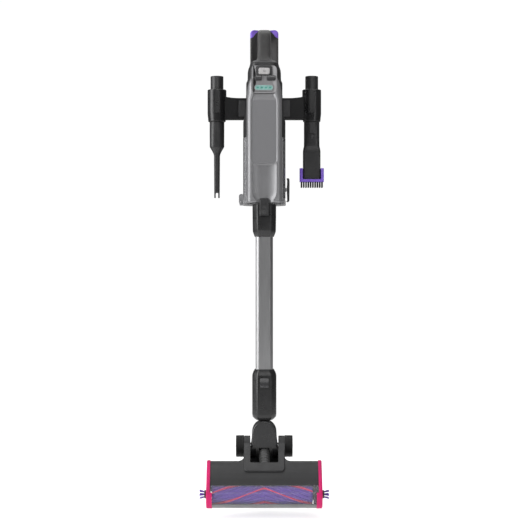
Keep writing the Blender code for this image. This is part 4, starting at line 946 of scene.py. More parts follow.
def make_buttons():
    """The dark surround of the power button, the three buttons, and the power mark."""
    low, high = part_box("power_button")
    bezel = plate("power_bezel", (-0.0195, 0.0185), (low[2] - 0.003, high[2] + 0.005), (-0.0264, -0.023),
                  0.0052, HAND)
    hole = (low[0] - 0.0003, high[0] + 0.0003)
    carve(bezel, plate("bezel_hole", hole, (low[2] - 0.0003, high[2] + 0.0003), (-0.05, 0.0), 0.0036, HAND))
    dress(bezel, "dark_gloss", "hand_unit", (), 0.0008)
    make_button("power_button", "white_plastic", -0.0302)
    make_button("boost_button", "dark_gloss", -0.0298, 0.0008)
    make_button("mode_button", "dark_gloss", -0.0298, 0.0008)
    mark_z = (low[2] + high[2]) / 2
    band = [(0.0019, -0.0303), (0.0025, -0.0303), (0.0025, -0.03), (0.0019, -0.03)]
    ring = turned("power_ring", band, "Y", (0.0, mark_z), HAND, True, 40)
    carve(ring, box("ring_gap", both(0.0009), (-0.032, -0.029), (mark_z + 0.0012, mark_z + 0.0045), HAND))
    stroke = box("power_stroke", both(0.0003), (-0.0303, -0.03), (mark_z + 0.0007, mark_z + 0.003), HAND,
                 0.0001)
    dress(joined("power_mark", [ring, stroke]), "dark_gloss", "power_button")


def make_button(node, name, front, grow=0.0):
    """A softly domed push button as wide and tall as its CAD node, or a little larger."""
    low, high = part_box(node)
    half = ((high[0] - low[0]) / 2 + grow, (high[2] - low[2]) / 2 + grow)
    centre = ((high[0] + low[0]) / 2, (high[2] + low[2]) / 2)
    rings = []
    for inset, y in ((0.0, -0.0236), (0.0, front + 0.0012), (0.0002, front + 0.0006),
                     (0.0007, front + 0.0002), (0.0016, front), (0.004, front - 0.0001)):
        corner = max(0.0034 - inset, 0.0004)
        rings.append(level(rounded(half[0] - inset, half[1] - inset, corner, centre), y, "Y"))
    dress(skin(node + "_fine", rings, HAND), name, node, (node,))


def make_display():
    """A pill shaped lens with a pale rim and four short slanted segments behind its face."""
    middle_z = 0.0287
    rim = skin("display_rim", [level(rounded(half, tall, tall - 0.0001, (-0.0008, middle_z), 12), y, "Y")
                               for half, tall, y in ((0.0219, 0.0069, -0.025), (0.0219, 0.0069, -0.0281),
                                                     (0.0213, 0.0063, -0.0285), (0.0205, 0.0055, -0.0281),
                                                     (0.0205, 0.0055, -0.025))], HAND, True)
    dress(rim, "panel_grey", "hand_unit")
    lens = plate("display_lens_fine", (-0.0212, 0.0196), both(0.0054, middle_z), (-0.028, -0.0245), 0.0053,
                 HAND, 12)
    dress(lens, "display", "hand_unit", ("display_lens",), 0.0003)
    for number in range(4):
        x = -0.015 + 0.0094 * number
        slant = 0.0018
        outline = [(x - 0.0028 - slant / 2, middle_z - 0.0019), (x + 0.0028 - slant / 2, middle_z - 0.0019),
                   (x + 0.0028 + slant / 2, middle_z + 0.0019), (x - 0.0028 + slant / 2, middle_z + 0.0019)]
        segment = prism(f"display_segment_{number}", outline, "Y", -0.0282, -0.0279, HAND)
        dress(segment, "segment", "hand_unit")


def make_bin():
    """The clear bin: rounded rim, flange, ribs, floor, inlet, hinge and latch lugs; then what it carries."""
    inner = BIN_R - 0.0022
    profile = [(BIN_R - 0.0006, BIN_TOP), (BIN_R, BIN_TOP - 0.0006), (BIN_R, -0.224),
               (BIN_R + 0.0004, -0.2252), (0.05, -0.2258), (0.0502, -0.2264),
               (0.0502, BIN_BOTTOM + 0.0006), (0.0498, BIN_BOTTOM), (inner, BIN_BOTTOM), (inner, BIN_TOP)]
    shell = turned("dust_bin_fine", profile, "Z", (0.0, BIN_Y), HAND, True, 128)
    turn = degrees(acos(0.021 / (BIN_R - 0.0008)))
    floor = arc((0.0, BIN_Y), BIN_R - 0.0008, BIN_R - 0.0008, -90 - turn, -90 + turn, 24)
    fused(shell, prism("front_floor", floor, "Z", BIN_BOTTOM + 0.0002, BIN_BOTTOM + 0.0022, HAND))
    for side in (-1, 1):
        for number, place in enumerate((48, 59, 70)):
            spot = radians(-90 + side * place)
            centre = (BIN_R * cos(spot), BIN_Y + BIN_R * sin(spot))
            fused(shell, rod(f"rib_{side}_{number}", 0.001, "Z", centre, -0.218, -0.088, HAND, 12))
    carve(shell, box("bin_inlet", both(0.01), (-0.005, 0.012), (-0.158, -0.142), HAND))
    hinge = DOOR_AT - Vector((0, WAND_Y, 0))
    latch = LATCH_AT - Vector((0, WAND_Y, 0))
    for side in (-1, 1):
        ys = both(0.0028, BIN_Y + side * 0.0092)
        lug = plate(f"hinge_lug_{side}", (-0.0592, -0.048), (hinge.z - 0.005, -0.21), ys, 0.0054, HAND)
        latch_lug = plate(f"latch_lug_{side}", (0.0465, latch.x - 0.0014), both(0.004, latch.z), ys, 0.0015,
                          HAND)
        fused(shell, lug, latch_lug)
    carve(shell, rod("hinge_bore", 0.0018, "Y", (hinge.x, hinge.z), BIN_Y - 0.02, BIN_Y + 0.02, HAND))
    dress(shell, "smoke_clear", "hand_unit", ("dust_bin",))
    make_bin_shade_rails()
    remake("bin_hinge_pin", "steel", "hand_unit", 0.0003)
    remake("bin_door", "smoke_clear", "bin_door", 0.0008)
    remake("bin_seal", "rubber", "bin_door", 0.0003)
    make_latch(latch)


def make_bin_shade_rails():
    """A dark upright rail along each side of the bin, which paints the line of shade at the clear bin's
    edges.
    """
    rails = []
    # dark strips: painted shade along the bin's edges
    for first, last in ((-25, 3), (177, 193)):
        outline = arc((0.0, BIN_Y), BIN_R + 0.0005, BIN_R + 0.0005, first, last, 12)
        outline += arc((0.0, BIN_Y), BIN_R - 0.0004, BIN_R - 0.0004, last, first, 12)
        rails.append(prism("bin_rail", outline, "Z", -0.22, BIN_TOP - 0.0012, HAND))
    dress(joined("bin_rails", rails), "dark_gloss", "hand_unit")


def make_latch(at):
    """A slim side lever with returned ends, grip ridges and an open gap to the bin."""
    outer = [(0.0016, 0.0268), (0.0042, 0.0262), (0.0052, 0.024), (0.0054, 0.0), (0.005, -0.0262),
             (0.0022, -0.0286), (-0.0016, -0.0282), (-0.0016, -0.0262), (0.0002, -0.0256), (0.0, -0.023),
             (-0.0004, -0.013), (-0.0009, -0.004), (-0.0009, 0.004), (-0.0004, 0.013), (0.0, 0.0228),
             (-0.0008, 0.0246), (-0.001, 0.0266)]
    local = HAND @ Matrix.Translation(at)
    lever = prism("bin_latch_fine", outer, "Y", -0.0074, 0.0074, local)
    for row in range(5):
        height = 0.008 + 0.003 * row
        fused(lever, rod(f"grip_ridge_{row}", 0.0006, "Y", (0.0051, height), -0.0066, 0.0066, local, 12))
    dress(lever, "black_plastic", "bin_latch", ("bin_latch",), 0.0004, 2)


# ---------------------------------------------------------------- handle, cap and battery
COLUMN_TOP = 0.1705


def column_front(x):
    """The column's front face: a shallow valley that is deepest beside the grip."""
    wide = min(abs(x), COLUMN_HALF)
    edge = eased(wide, COLUMN_HALF - 0.0028, COLUMN_HALF)
    return 0.046 + 0.0058 * (1 - eased(wide, 0.012, COLUMN_HALF - 0.0015)) + 0.0032 * edge ** 2


def column_ring(half, z, back):
    """A level section of the rear column, its valley in front and soft corners behind."""
    columns = 72
    xs = [half * sin(pi / 2 * (2 * step / columns - 1)) for step in range(columns + 1)]
    front = [(x, column_front(x * COLUMN_HALF / half), z) for x in xs]
    rear = arc((half - 0.006, back - 0.006), 0.006, 0.006, 0, 90, 8)
    rear += [(-x, y) for x, y in reversed(rear)]
    return front + [(x, y, z) for x, y in rear]


def crown(share):
    """Half width of the handle's top as its height goes from the cap's shoulder (0) to its top (1)."""
    return COLUMN_HALF - 0.007 + 0.007 * sqrt(max(1 - share ** 2, 0.0))


def make_handle():
    """The closed handle: grip in front, bridge on top, broad column behind."""
    base = [(0.0335, -0.028, 0.082, 0.0843), (0.0335, -0.028, 0.082, 0.0852),
            (0.0322, -0.0262, 0.0805, 0.0885), (0.029, -0.0225, 0.076, 0.0916),
            (0.024, -0.017, 0.07, 0.0938), (0.0215, -0.015, 0.066, 0.0945)]
    rings = [deep_oval(half, front, back, 4.2, FINE, z) for half, front, back, z in base]
    handle = skin("handle_fine", rings, HAND)
    grip = smoothed([(0.025, 0.017, -0.0085, 0.086, 3.4), (0.02, 0.0158, -0.006, 0.091, 3.2),
                     (0.017, 0.0148, -0.003, 0.098, 3.0), (0.0157, 0.0142, -0.0005, 0.108, 3.0),
                     (0.0155, 0.0142, 0.0005, 0.125, 3.0), (0.0155, 0.0141, 0.001, 0.145, 3.0),
                     (0.0153, 0.0138, 0.003, 0.154, 2.9), (0.0149, 0.013, 0.007, 0.16, 2.8),
                     (0.014, 0.012, 0.012, 0.164, 2.7), (0.012, 0.01, 0.017, 0.1662, 2.6)], 8)
    grip += [(0.0085, 0.006, 0.019, 0.1668, 2.5)]
    bar = skin("grip_bar", [level(oval(a, b, (0.0, y), power, FINE), z) for a, b, y, z, power in grip], HAND)
    dress(bar, "soft_grip", "hand_unit")
    bridge = prism("bridge", rounded(0.0136, 0.0095, 0.006, (0.0, 0.1573), 10), "Y", 0.01, 0.06, HAND)
    make_column()
    dress(bridge, "soft_grip", "hand_unit", (), 0.001)
    dress(handle, "black_plastic", "hand_unit", ("handle_frame",))
    crest = rounded(0.0135, 0.0062, 0.0035, (0.0, COLUMN_TOP - 0.0036), 6)
    crest = prism("handle_crest", crest, "Y", 0.047, COLUMN_Y[1] - 0.001, HAND)
    dress(crest, "black_plastic", "hand_unit", (), 0.0008)
    make_cap()


def make_column():
    """The broad rear column, cut away for the cap and the battery."""
    shoulder = COLUMN_TOP - 0.0167
    column = [column_ring(COLUMN_HALF, 0.083, COLUMN_Y[1]), column_ring(COLUMN_HALF, shoulder, COLUMN_Y[1])]
    for step in range(1, 12):
        share = step / 11
        half = COLUMN_HALF - 0.003 * share
        column.append(column_ring(half, shoulder + 0.0155 * share, COLUMN_Y[1]))
    column = skin("rear_column", column, HAND)
    carve(column, cap_shape("cap_room", 0.0003))
    carve(column, box("pack_room", both(0.027), (0.056, 0.09), (0.092, 0.138), HAND))
    dress(column, "soft_grip", "hand_unit")


def cap_outline(grow):
    """The cap in front view: broad round shoulders, and a lower edge that climbs to the centre."""
    top = COLUMN_TOP + 0.0022
    shoulder = arc((COLUMN_HALF - 0.0085, top - 0.0085), 0.0085 + grow, 0.0085 + grow, 0, 90, 14)
    lower = [(COLUMN_HALF + grow, -0.0165), (0.029, -0.0158), (0.0255, -0.0132), (0.0222, -0.008),
             (0.0192, -0.004), (0.0152, -0.0016), (0.013, -0.0011)]
    return [(x, COLUMN_TOP + z - grow) for x, z in reversed(lower)] + shoulder


def cap_shape(name, grow=0.0):
    """The cap as a solid over the column's crown, following the valley in front."""
    outline = cap_outline(grow)
    whole = outline + [(-x, z) for x, z in reversed(outline)]
    return prism(name, whole, "Y", 0.044 - 10 * grow, COLUMN_Y[1] + 10 * grow, HAND)


def make_cap():
    """The purple cap on the column's shoulders."""
    rings = [column_ring(COLUMN_HALF, COLUMN_TOP - 0.018, COLUMN_Y[1])]
    for step in range(25):
        share = step / 24
        height = COLUMN_TOP + 0.0022 - 0.008 * (1 - share)
        rings.append(column_ring(crown(share), height, COLUMN_Y[1] - 0.004 * share ** 3))
    cap = skin("handle_cap_fine", rings, HAND)
    carve(cap, cap_shape("cap_shape"), "INTERSECT")
    dress(cap, "purple_plastic", "hand_unit", ("handle_cap",), 0.0005)


def make_hand_inner():
    """The parts at the back of the hand unit and inside it, from the frame with fine edges."""
    remake("exhaust_grille", "dark_gloss", "hand_unit", 0.0004)
    remake("battery_pack", "black_plastic", "battery", 0.0012)
    remake("battery_release_button", "purple_plastic", "battery_release", 0.0006)
    remake("dock_catch", "black_plastic", "hand_unit", 0.0006)
    remake("inlet_duct", "black_plastic", "hand_unit", 0.0003)
    remake("cyclone_shroud", "dark_gloss", "hand_unit", 0.0003)
    remake("pleated_filter", "filter", "hand_unit", 0.0003)
    remake("suction_motor", "steel", "hand_unit", 0.0006)
    remake("motor_fan", "aluminium", "motor_fan", 0.0003)
    remake("circuit_board", "board_green", "hand_unit", 0.0002)


# ---------------------------------------------------------------- wand, neck and fork
SOCKET_TOP = -0.2372            # heights of the wand's socket and of the neck's
SOCKET_BOTTOM = -0.311
TUBE_HALF = (0.0198, 0.016)     # half width and half depth of the tube
NECK_TOP = -0.6147
NECK_BOTTOM = -0.7312
TAB_HALF = 0.0106
AXLE_BORE = 0.0044


def facet_ring(half_a, half_b, z, flat, centre_y):
    """A section with a flat front and back, slanted flanks and soft corners."""
    corner = 0.003
    points = [(flat, -half_b), (half_a - 0.0012, -half_b * 0.5), (half_a, -half_b * 0.22),
              (half_a, half_b * 0.22), (half_a - 0.0012, half_b * 0.5), (flat, half_b)]
    points += [(-x, y) for x, y in reversed(points)]
    ring = []
    count = len(points)
    for number, here in enumerate(points):
        before = Vector(points[number - 1])
        after = Vector(points[(number + 1) % count])
        middle = Vector(here)
        for share in range(7):
            t = share / 6
            start = middle + (before - middle).normalized() * min(corner, (before - middle).length / 2.01)
            end = middle + (after - middle).normalized() * min(corner, (after - middle).length / 2.01)
            spot = start * (1 - t) ** 2 + middle * (2 * t * (1 - t)) + end * t ** 2
            ring.append((spot.x, spot.y + centre_y, z))
    return ring


def hollow_socket(name, outer, inner):
    """A socket's outer skin through facet stations and its bore."""
    count = 12 * 7
    rings = [facet_ring(a, b, z, flat, y) for z, a, b, flat, y in outer]
    for z, a, b, power, y in inner:
        ring = level(oval(a, b, (0.0, y), power, count), z)
        rings.append(ring[-21:] + ring[:-21])
    return skin(name, rings, HAND, True)


def make_wand():
    """The upper socket with its thumb tab, the faceted tube and the lower spigot."""
    a, b = TUBE_HALF
    outer = [(SOCKET_TOP + 0.0002, 0.0262, 0.0225, 0.015, -0.004),
             (SOCKET_TOP - 0.0006, 0.0272, 0.0235, 0.0158, -0.004),
             (-0.27, 0.027, 0.0228, 0.0154, -0.003), (-0.295, 0.0266, 0.0218, 0.0148, -0.001),
             (-0.299, 0.0263, 0.0214, 0.0146, -0.0006), (-0.304, 0.0246, 0.02, 0.014, 0.0),
             (-0.3098, 0.0224, 0.0184, 0.0128, 0.0), (SOCKET_BOTTOM, 0.0215, 0.0176, 0.0122, 0.0)]
    inner = [(SOCKET_BOTTOM, a + 0.0004, b + 0.0004, 2.4, 0.0), (-0.29, a + 0.0004, b + 0.0004, 2.4, 0.0),
             (-0.29, 0.0108, 0.0063, 4.0, -0.004), (SOCKET_TOP + 0.0002, 0.0108, 0.0063, 4.0, -0.0112)]
    socket = hollow_socket("wand_socket_fine", outer, inner)
    carve(socket, box("tab_room", both(TAB_HALF + 0.0004), (-0.045, -0.0192), (-0.264, -0.2), HAND))
    dress(socket, "sleeve_plastic", "wand", ("wand_upper_socket",))
    spigot = [(-0.21, 0.011, 0.0066, 4.0), (-0.2095, 0.0118, 0.0074, 4.0), (-0.211, 0.0123, 0.0078, 4.0),
              (-0.24, 0.0123, 0.0078, 4.0), (-0.24, 0.0108, 0.0063, 4.0), (-0.21, 0.0108, 0.0063, 4.0)]
    rings = [level(oval(p, q, (0.0, -0.0112), power, SMALL), z) for z, p, q, power in spigot]
    upper = skin("wand_upper_spigot", rings, HAND, True)
    dress(upper, "black_plastic", "wand")
    make_thumb_tab()
    make_tube()
    remake("wand_lower_spigot", "black_plastic", "wand", 0.0003)


def make_thumb_tab():
    """The tab that reaches over the spine's scoop, with a hollow for the thumb."""
    rings = []
    rows = 44
    low, high = -0.2632, -0.223
    for row in range(rows + 1):
        z = low + (high - low) * row / rows
        corner = 0.004
        drop = max(z - (high - corner), 0.0)
        half = TAB_HALF - corner + sqrt(max(corner ** 2 - drop ** 2, 0.0))
        xs = [half * sin(pi / 2 * (2 * step / 36 - 1)) for step in range(37)]
        front = []
        for x in xs:
            hollow = 0.0022 * exp(-((z + 0.249) / 0.0065) ** 2 - (x / 0.0062) ** 2)
            crest = 0.0008 * eased(abs(x), half - 0.0014, half) + 0.0012 * eased(z, high - 0.0022, high)
            front.append((x, -0.0312 + hollow + crest, z))
        back = [(x, -0.0283 if z > -0.236 else -0.0212, z) for x in reversed(xs)]
        rings.append(front + back)
    dress(skin("wand_tab_fine", rings, HAND), "black_plastic", "wand_release", ("wand_release_button",))


def make_tube():
    """The aluminium tube: a flat front between two fine grooves, and slanted flanks."""
    a, b = TUBE_HALF
    flat = 0.0132
    groove = 0.0005
    section = [(0.0, -b), (flat - groove, -b), (flat - groove * 0.6, -b + groove),
               (flat + groove * 0.6, -b + groove), (flat + groove, -b + 0.0004), (a - 0.0014, -b + 0.0042),
               (a - 0.0004, -b + 0.0062), (a, -b * 0.4), (a, 0.0)]
    quarter = [Vector(point) for point in section]
    right = quarter + [Vector((point.x, -point.y)) for point in reversed(quarter[:-1])]
    outline = right + [Vector((-point.x, point.y)) for point in reversed(right[1:-1])]
    inner = [point * 0.9 for point in outline]
    rings = [level(ring, z) for ring, z in
             ((outline, -0.2905), (outline, -0.632), (inner, -0.632), (inner, -0.2905))]
    tube = skin("wand_tube_fine", rings, HAND, True)
    dress(tube, "aluminium", "wand", ("wand_tube",), 0.0003, 2)


def make_neck():
    """The neck: a faceted socket, its release button, and the tongue on the lean pin."""
    a, b = TUBE_HALF
    outer = [(NECK_TOP, 0.0216, 0.0178, 0.0124, 0.0), (NECK_TOP - 0.0008, 0.0224, 0.0184, 0.0128, 0.0),
             (-0.6215, 0.0256, 0.0206, 0.0142, 0.0), (-0.6266, 0.0272, 0.0222, 0.0152, 0.0),
             (-0.63, 0.0277, 0.023, 0.0156, 0.0), (-0.717, 0.0277, 0.0236, 0.0158, 0.0),
             (-0.723, 0.0272, 0.0234, 0.0154, 0.0), (-0.728, 0.0228, 0.0206, 0.0134, 0.0),
             (NECK_BOTTOM, 0.0186, 0.0182, 0.0118, 0.0)]
    inner = [(NECK_BOTTOM, 0.01, 0.006, 2.0, 0.0), (-0.67, 0.015, 0.011, 2.2, 0.0),
             (-0.6565, a + 0.0004, b + 0.0004, 2.4, 0.0), (NECK_TOP, a + 0.0004, b + 0.0004, 2.4, 0.0)]
    socket = hollow_socket("neck_socket_fine", outer, inner)
    tongue = [(0.0118, -0.729), (-0.0118, -0.729)] + arc((0.0, LEAN_Z), 0.0118, 0.0118, 180, 360, 48)
    lobe = prism("neck_tongue", tongue, "Y", -0.0058, 0.0058, HAND)
    carve(lobe, rod("tongue_bore", 0.0034, "Y", (0.0, LEAN_Z), -0.02, 0.02, HAND))
    middle_z = -0.645
    tab_room = plate("neck_tab_room", both(0.0107), both(0.0116, middle_z), (-0.04, -0.0184), 0.0042, HAND)
    carve(socket, tab_room)
    dress(socket, "sleeve_plastic", "neck", ("neck_socket",))
    dress(lobe, "black_plastic", "neck", (), 0.0006)
    remake("lean_pin", "steel", "neck", 0.0004)
    button = plate("neck_button_fine", both(0.0102), both(0.011, middle_z), (-0.0238, -0.02), 0.0038,
                   HAND, 12)
    carve(button, rod("thumb_hollow", 0.04, "X", (-0.0625, middle_z), -0.02, 0.02, HAND, 96))
    dress(button, "dark_gloss", "neck_release", ("neck_release_button",), 0.0005)


FORK_R = 0.028


def fork_outline(inset):
    """The fork in front view, drawn in by inset all round."""
    drop = PITCH_Z - LEAN_Z
    dome = arc((0.0, 0.0), FORK_R - inset, FORK_R - inset, 0, 180, 64)
    side = [(-0.0292, -0.016), (-0.0304, -0.024), (-0.0305, drop - 0.02), (-0.03, drop - 0.0235),
            (-0.0285, drop - 0.025)]
    side = [(x + inset, max(z, drop - 0.025 + inset)) for x, z in side]
    return dome + side + [(-x, z) for x, z in reversed(side)]


def make_fork():
    """The fork: domed cheeks with broad soft edges, and two rounded legs."""
    drop = PITCH_Z - LEAN_Z
    steps = ((0.0048, -0.024), (0.0032, -0.0238), (0.0018, -0.0231), (0.0008, -0.022), (0.0002, -0.0206),
             (0.0, -0.019), (0.0, 0.018), (0.0006, 0.0198), (0.0024, 0.021))
    fork = skin("fork_fine", [level(fork_outline(inset), y, "Y") for inset, y in steps], LEAN)
    carve(fork, box("cheek_gap", both(0.05), both(0.0063), (-0.015, 0.05), LEAN))
    carve(fork, box("leg_gap", both(0.0185), both(0.05), (drop - 0.05, drop - 0.001), LEAN, 0.002))
    carve(fork, rod("axle_bore", AXLE_BORE, "X", (0.0, drop), -0.05, 0.05, LEAN))
    round_off = [(0.0225, -0.06), (0.0225, 0.06), (0.09, 0.06), (0.09, -0.06)]
    foot = turned("foot_round", round_off, "X", (0.0, drop), LEAN, True, 96)
    carve(foot, box("foot_keep", both(0.07), both(0.1), (drop, drop + 0.1), LEAN))
    carve(fork, foot)
    dress(fork, "fork_plastic", "swivel", ("swivel_fork",), 0.0004, 2)


# ---------------------------------------------------------------- floor head
AXLE_U = 0.025                  # the wheel axis stands this far above the floor
HEAD_HALF = 0.1205
CAP_THICK = 0.008
HEAD_REAR = 0.068
HEAD_TOP = 0.06
ROLL_F = -(HEAD.inverted() @ ROLL_AT).y
ROLL_U = (HEAD.inverted() @ ROLL_AT).z + AXLE_U
ROLL_R = 0.0236
ROLL_HALF = 0.107              # the roll's right end, short of the belt
ROLL_LEFT = 0.1165
NOSE = (0.031, 0.027)
ARM_X = 0.0465
EDGE_R = 0.009
WINDOW_TOP = 98                 # degrees above straight ahead where the window starts
MOTOR_F = 0.093


def head_point(f, u):
    """A point of the head's side view, f forward of the wheel axis and u above the floor."""
    return (-f, u - AXLE_U)


def side_view(points):
    """A whole outline of the head's side view."""
    return [head_point(f, u) for f, u in points]


def nose_arc(grow, start, end, steps):
    """Points along the head's oval nose, from start to end degrees above straight ahead."""
    return arc((ROLL_F, ROLL_U), NOSE[0] + grow, NOSE[1] + grow, start, end, steps)


def plan_ring(inset, u):
    """The head seen from above at height u: a wide bar with a concave fillet to each arm."""
    reach = 0.0135
    centre = (ARM_X + reach, -HEAD_REAR + reach)
    sweep = arc(centre, reach + inset, reach + inset, -90, -180, 24)
    right = [(HEAD_HALF - 0.0003, -0.137), (HEAD_HALF - 0.0003, -HEAD_REAR - inset)] + sweep
    right.append((ARM_X - inset, -0.038))
    outline = right + [(-x, y) for x, y in reversed(right)]
    return level(outline, u - AXLE_U)


def make_head_shell():
    """The head's top shell with its filleted arms and the raised rim round the well."""
    rings = [plan_ring(0.0, 0.006), plan_ring(0.0, HEAD_TOP - EDGE_R)]
    for step in range(1, 13):
        turn = pi / 2 * step / 12
        rings.append(plan_ring(EDGE_R * (1 - cos(turn)), HEAD_TOP - EDGE_R + EDGE_R * sin(turn)))
    shell = skin("head_shell_fine", rings, HEAD)
    edge = nose_arc(0.0, WINDOW_TOP + 0.8, WINDOW_TOP + 0.8, 1)[0]
    room = arc((ROLL_F, ROLL_U), ROLL_R + 0.0012, ROLL_R + 0.001, WINDOW_TOP + 2, 212, 40)
    roof = [(-0.02, 0.005), (-0.02, HEAD_TOP + 0.001), (0.074, HEAD_TOP + 0.001), (0.08, 0.0597),
            (0.093, 0.0588), (0.105, 0.0575), (0.118, 0.0551), edge]
    outline = side_view(roof + room + [(0.115, 0.005)])
    carve(shell, prism("side_shape", outline, "X", -0.2, 0.2, HEAD), "INTERSECT")
    for side in (-1, 1):
        xs = on_side(side, 0.0323, ARM_X)
        arm = [(0.064, 0.01), (0.064, 0.056)] + arc((0.0, AXLE_U), 0.024, 0.024, 66, 268, 44)
        arm.append((0.03, 0.003))
        fused(shell, prism("arm", side_view(arm), "X", *xs, HEAD))
    fused(shell, box("well_floor", both(0.04), (-0.08, -0.033), (0.0035 - AXLE_U, 0.0088 - AXLE_U), HEAD))
    fused(shell, box("axle_guard", both(0.033), (-0.0345, 0.03), (0.0004 - AXLE_U, 0.002 - AXLE_U), HEAD),
          box("guard_step", both(0.0326), (-0.0347, -0.0328), (0.0007 - AXLE_U, 0.0061 - AXLE_U), HEAD))
    rim = []
    for inset, u in ((0.0, 0.054), (0.0, 0.0602), (0.0004, 0.0612), (0.0014, 0.0619), (0.0028, 0.0621)):
        outline = rounded(ARM_X - 0.0005 - inset, 0.033 - inset, 0.009 - inset, (0.0, -0.07), 12)
        rim.append(level(outline, u - AXLE_U))
    fused(shell, skin("raised_rim", rim, HEAD))
    hollow_head(shell)
    dress(shell, "head_plastic", "floor_head", ("head_housing", "yoke_frame"), 0.0009, 3)


def hollow_head(shell):
    """Cut the well between the arms, the axle holes, the top seams and the drive's chambers."""
    well = rounded(0.0318, 0.06, 0.005, (0.0, -0.019), 8)
    carve(shell, prism("well", well, "Z", 0.009 - AXLE_U, 0.1, HEAD))
    carve(shell, box("arm_gap", both(0.0318), (-0.0325, 0.1), (0.0022 - AXLE_U, 0.1), HEAD))
    for side in (-1, 1):
        carve(shell, rod("axle_hole", AXLE_BORE, "X", (0.0, 0.0), side * 0.02, side * 0.06, HEAD))
        seam = on_side(side, 0.06, 0.1197)
        carve(shell, box("seam", seam, (-0.0812, -0.0807), (0.0594 - AXLE_U, 0.07), HEAD, 0.0001))
    motor = head_point(MOTOR_F, 0.03)
    carve(shell, rod("motor_chamber", 0.014, "X", motor, -0.09, 0.2, HEAD, 64))
    below = -AXLE_U - 0.01
    carve(shell, box("motor_mouth", (0.034, 0.2), both(0.014, -MOTOR_F), (below, motor[1]), HEAD))
    carve(shell, box("belt_chamber", (0.108, 0.2), (-0.2, -MOTOR_F + 0.014), (below, 0.0505 - AXLE_U), HEAD))


def make_nose():
    """The clear window, the pale lip with its row of lights, the sole plate and the guard over the belt."""
    ends = both(HEAD_HALF - 0.0003)
    outer = nose_arc(0.0, WINDOW_TOP, -22, 80)
    inner = nose_arc(-0.002, WINDOW_TOP, -22, 80)
    window = prism("window_fine", side_view(outer + inner[::-1]), "X", *ends, HEAD)
    dress(window, "clear", "floor_head", ("window",))
    lip = nose_arc(0.0006, 3, -50, 48) + [(0.155, 0.0022)] + nose_arc(-0.003, -52, 3, 48)
    lip = prism("front_lip_fine", side_view(lip), "X", *ends, HEAD)
    dress(lip, "lip_grey", "floor_head", ("front_lip",), 0.0003)
    remake("sole_plate", "black_plastic", "floor_head", 0.0004)
    guard = nose_arc(-0.0024, 94, -44, 40) + nose_arc(-0.0036, -44, 94, 40)
    guard = prism("belt_guard", side_view(guard), "X", ROLL_HALF + 0.0012, HEAD_HALF - 0.0005, HEAD)
    dress(guard, "head_plastic", "floor_head")
    button = [(0.0015, -0.0006), (0.0015, 0.0003), (0.0, 0.0003), (0.0, -0.0006)]
    dots = []
    for side in (-1, 1):
        for x in (0.081, 0.09):
            spot = nose_arc(0.0004, -36, -36, 1)[0]
            y, z = head_point(*spot)
            tilt = HEAD @ Matrix.Translation((side * x, y, z)) @ Matrix.Rotation(radians(38), 4, "X")
            dots.append(turned("dot", button, "Y", (0.0, 0.0), tilt, False, 28))
    dress(joined("lip_lights", dots), "led", "floor_head")


def cap_outline_side(grow):
    """Side view of an end cap, a little larger than the head all round."""
    top = arc((HEAD_REAR + 0.008, HEAD_TOP - 0.0085), 0.0095 + grow, 0.0095 + grow, 180, 90, 16)
    nose = nose_arc(0.0012 + grow, WINDOW_TOP - 4, -48, 72)
    brow = [(0.09, 0.0603 + grow), (0.105, 0.059 + grow), (0.12, 0.0561 + grow)]
    return side_view([(HEAD_REAR - 0.0015 - grow, 0.0015)] + top + brow + nose + [(0.155, 0.0015)])


def make_end_caps():
    """Two pink caps: a soft rim, a shaft hole in a fine ring, and a wider band over the window's ends."""
    centre = head_point(ROLL_F, ROLL_U)
    for name, side in (("end_cap_left", -1), ("end_cap_right", 1)):
        steps = ((0.0, 0.0), (0.0042, 0.0004), (0.0064, 0.0002), (0.0075, -0.0006), (0.008, -0.002))
        rings = [level(cap_outline_side(grow), side * (HEAD_HALF + out), "X") for out, grow in steps]
        cap = skin(name + "_fine", rings, HEAD)
        outer = nose_arc(0.0016, 62, -46, 60)
        inner = nose_arc(0.0001, 62, -46, 60)
        xs = on_side(side, HEAD_HALF - 0.0048, HEAD_HALF + 0.002)
        fused(cap, prism("cap_band", side_view(outer + inner[::-1]), "X", *xs, HEAD))
        carve(cap, rod("shaft_hole", 0.007, "X", centre, xs[0] - 0.02, xs[1] + 0.02, HEAD, 56))
        face = side * (HEAD_HALF + CAP_THICK)
        near = sorted((face - side * 0.0007, face + side * 0.01))
        groove = [(0.0128, near[0]), (0.0128, near[1]), (0.0138, near[1]), (0.0138, near[0])]
        carve(cap, turned("cap_ring", groove, "X", centre, HEAD, True, 80))
        dress(cap, "pink_plastic", "floor_head", (name,), 0.0005, 2)


TWIST = radians(112.0)          # how far a strip turns from the roll's middle to its end
DRUM_R = 0.019


def helix(name, start, high, thick, step_mm, notch=0.0):
    """A strip wound along the roll as a chevron; with a notch its rim is cut into separate tufts."""
    count = round((ROLL_LEFT + ROLL_HALF) * 1000 / step_mm)
    rings = []
    for number in range(count + 1):
        x = -ROLL_LEFT + (ROLL_LEFT + ROLL_HALF) * number / count
        turn = start + TWIST * abs(x) / ROLL_HALF
        rim = high - (notch if number % 2 else 0.0)
        ring = []
        for radius, side in ((DRUM_R - 0.001, -1), (rim, -0.6), (rim, 0.6), (DRUM_R - 0.001, 1)):
            spin = turn + side * thick / 2 / radius
            ring.append((x, radius * cos(spin), radius * sin(spin)))
        rings.append(ring)
    return skin(name, rings, ROLL)


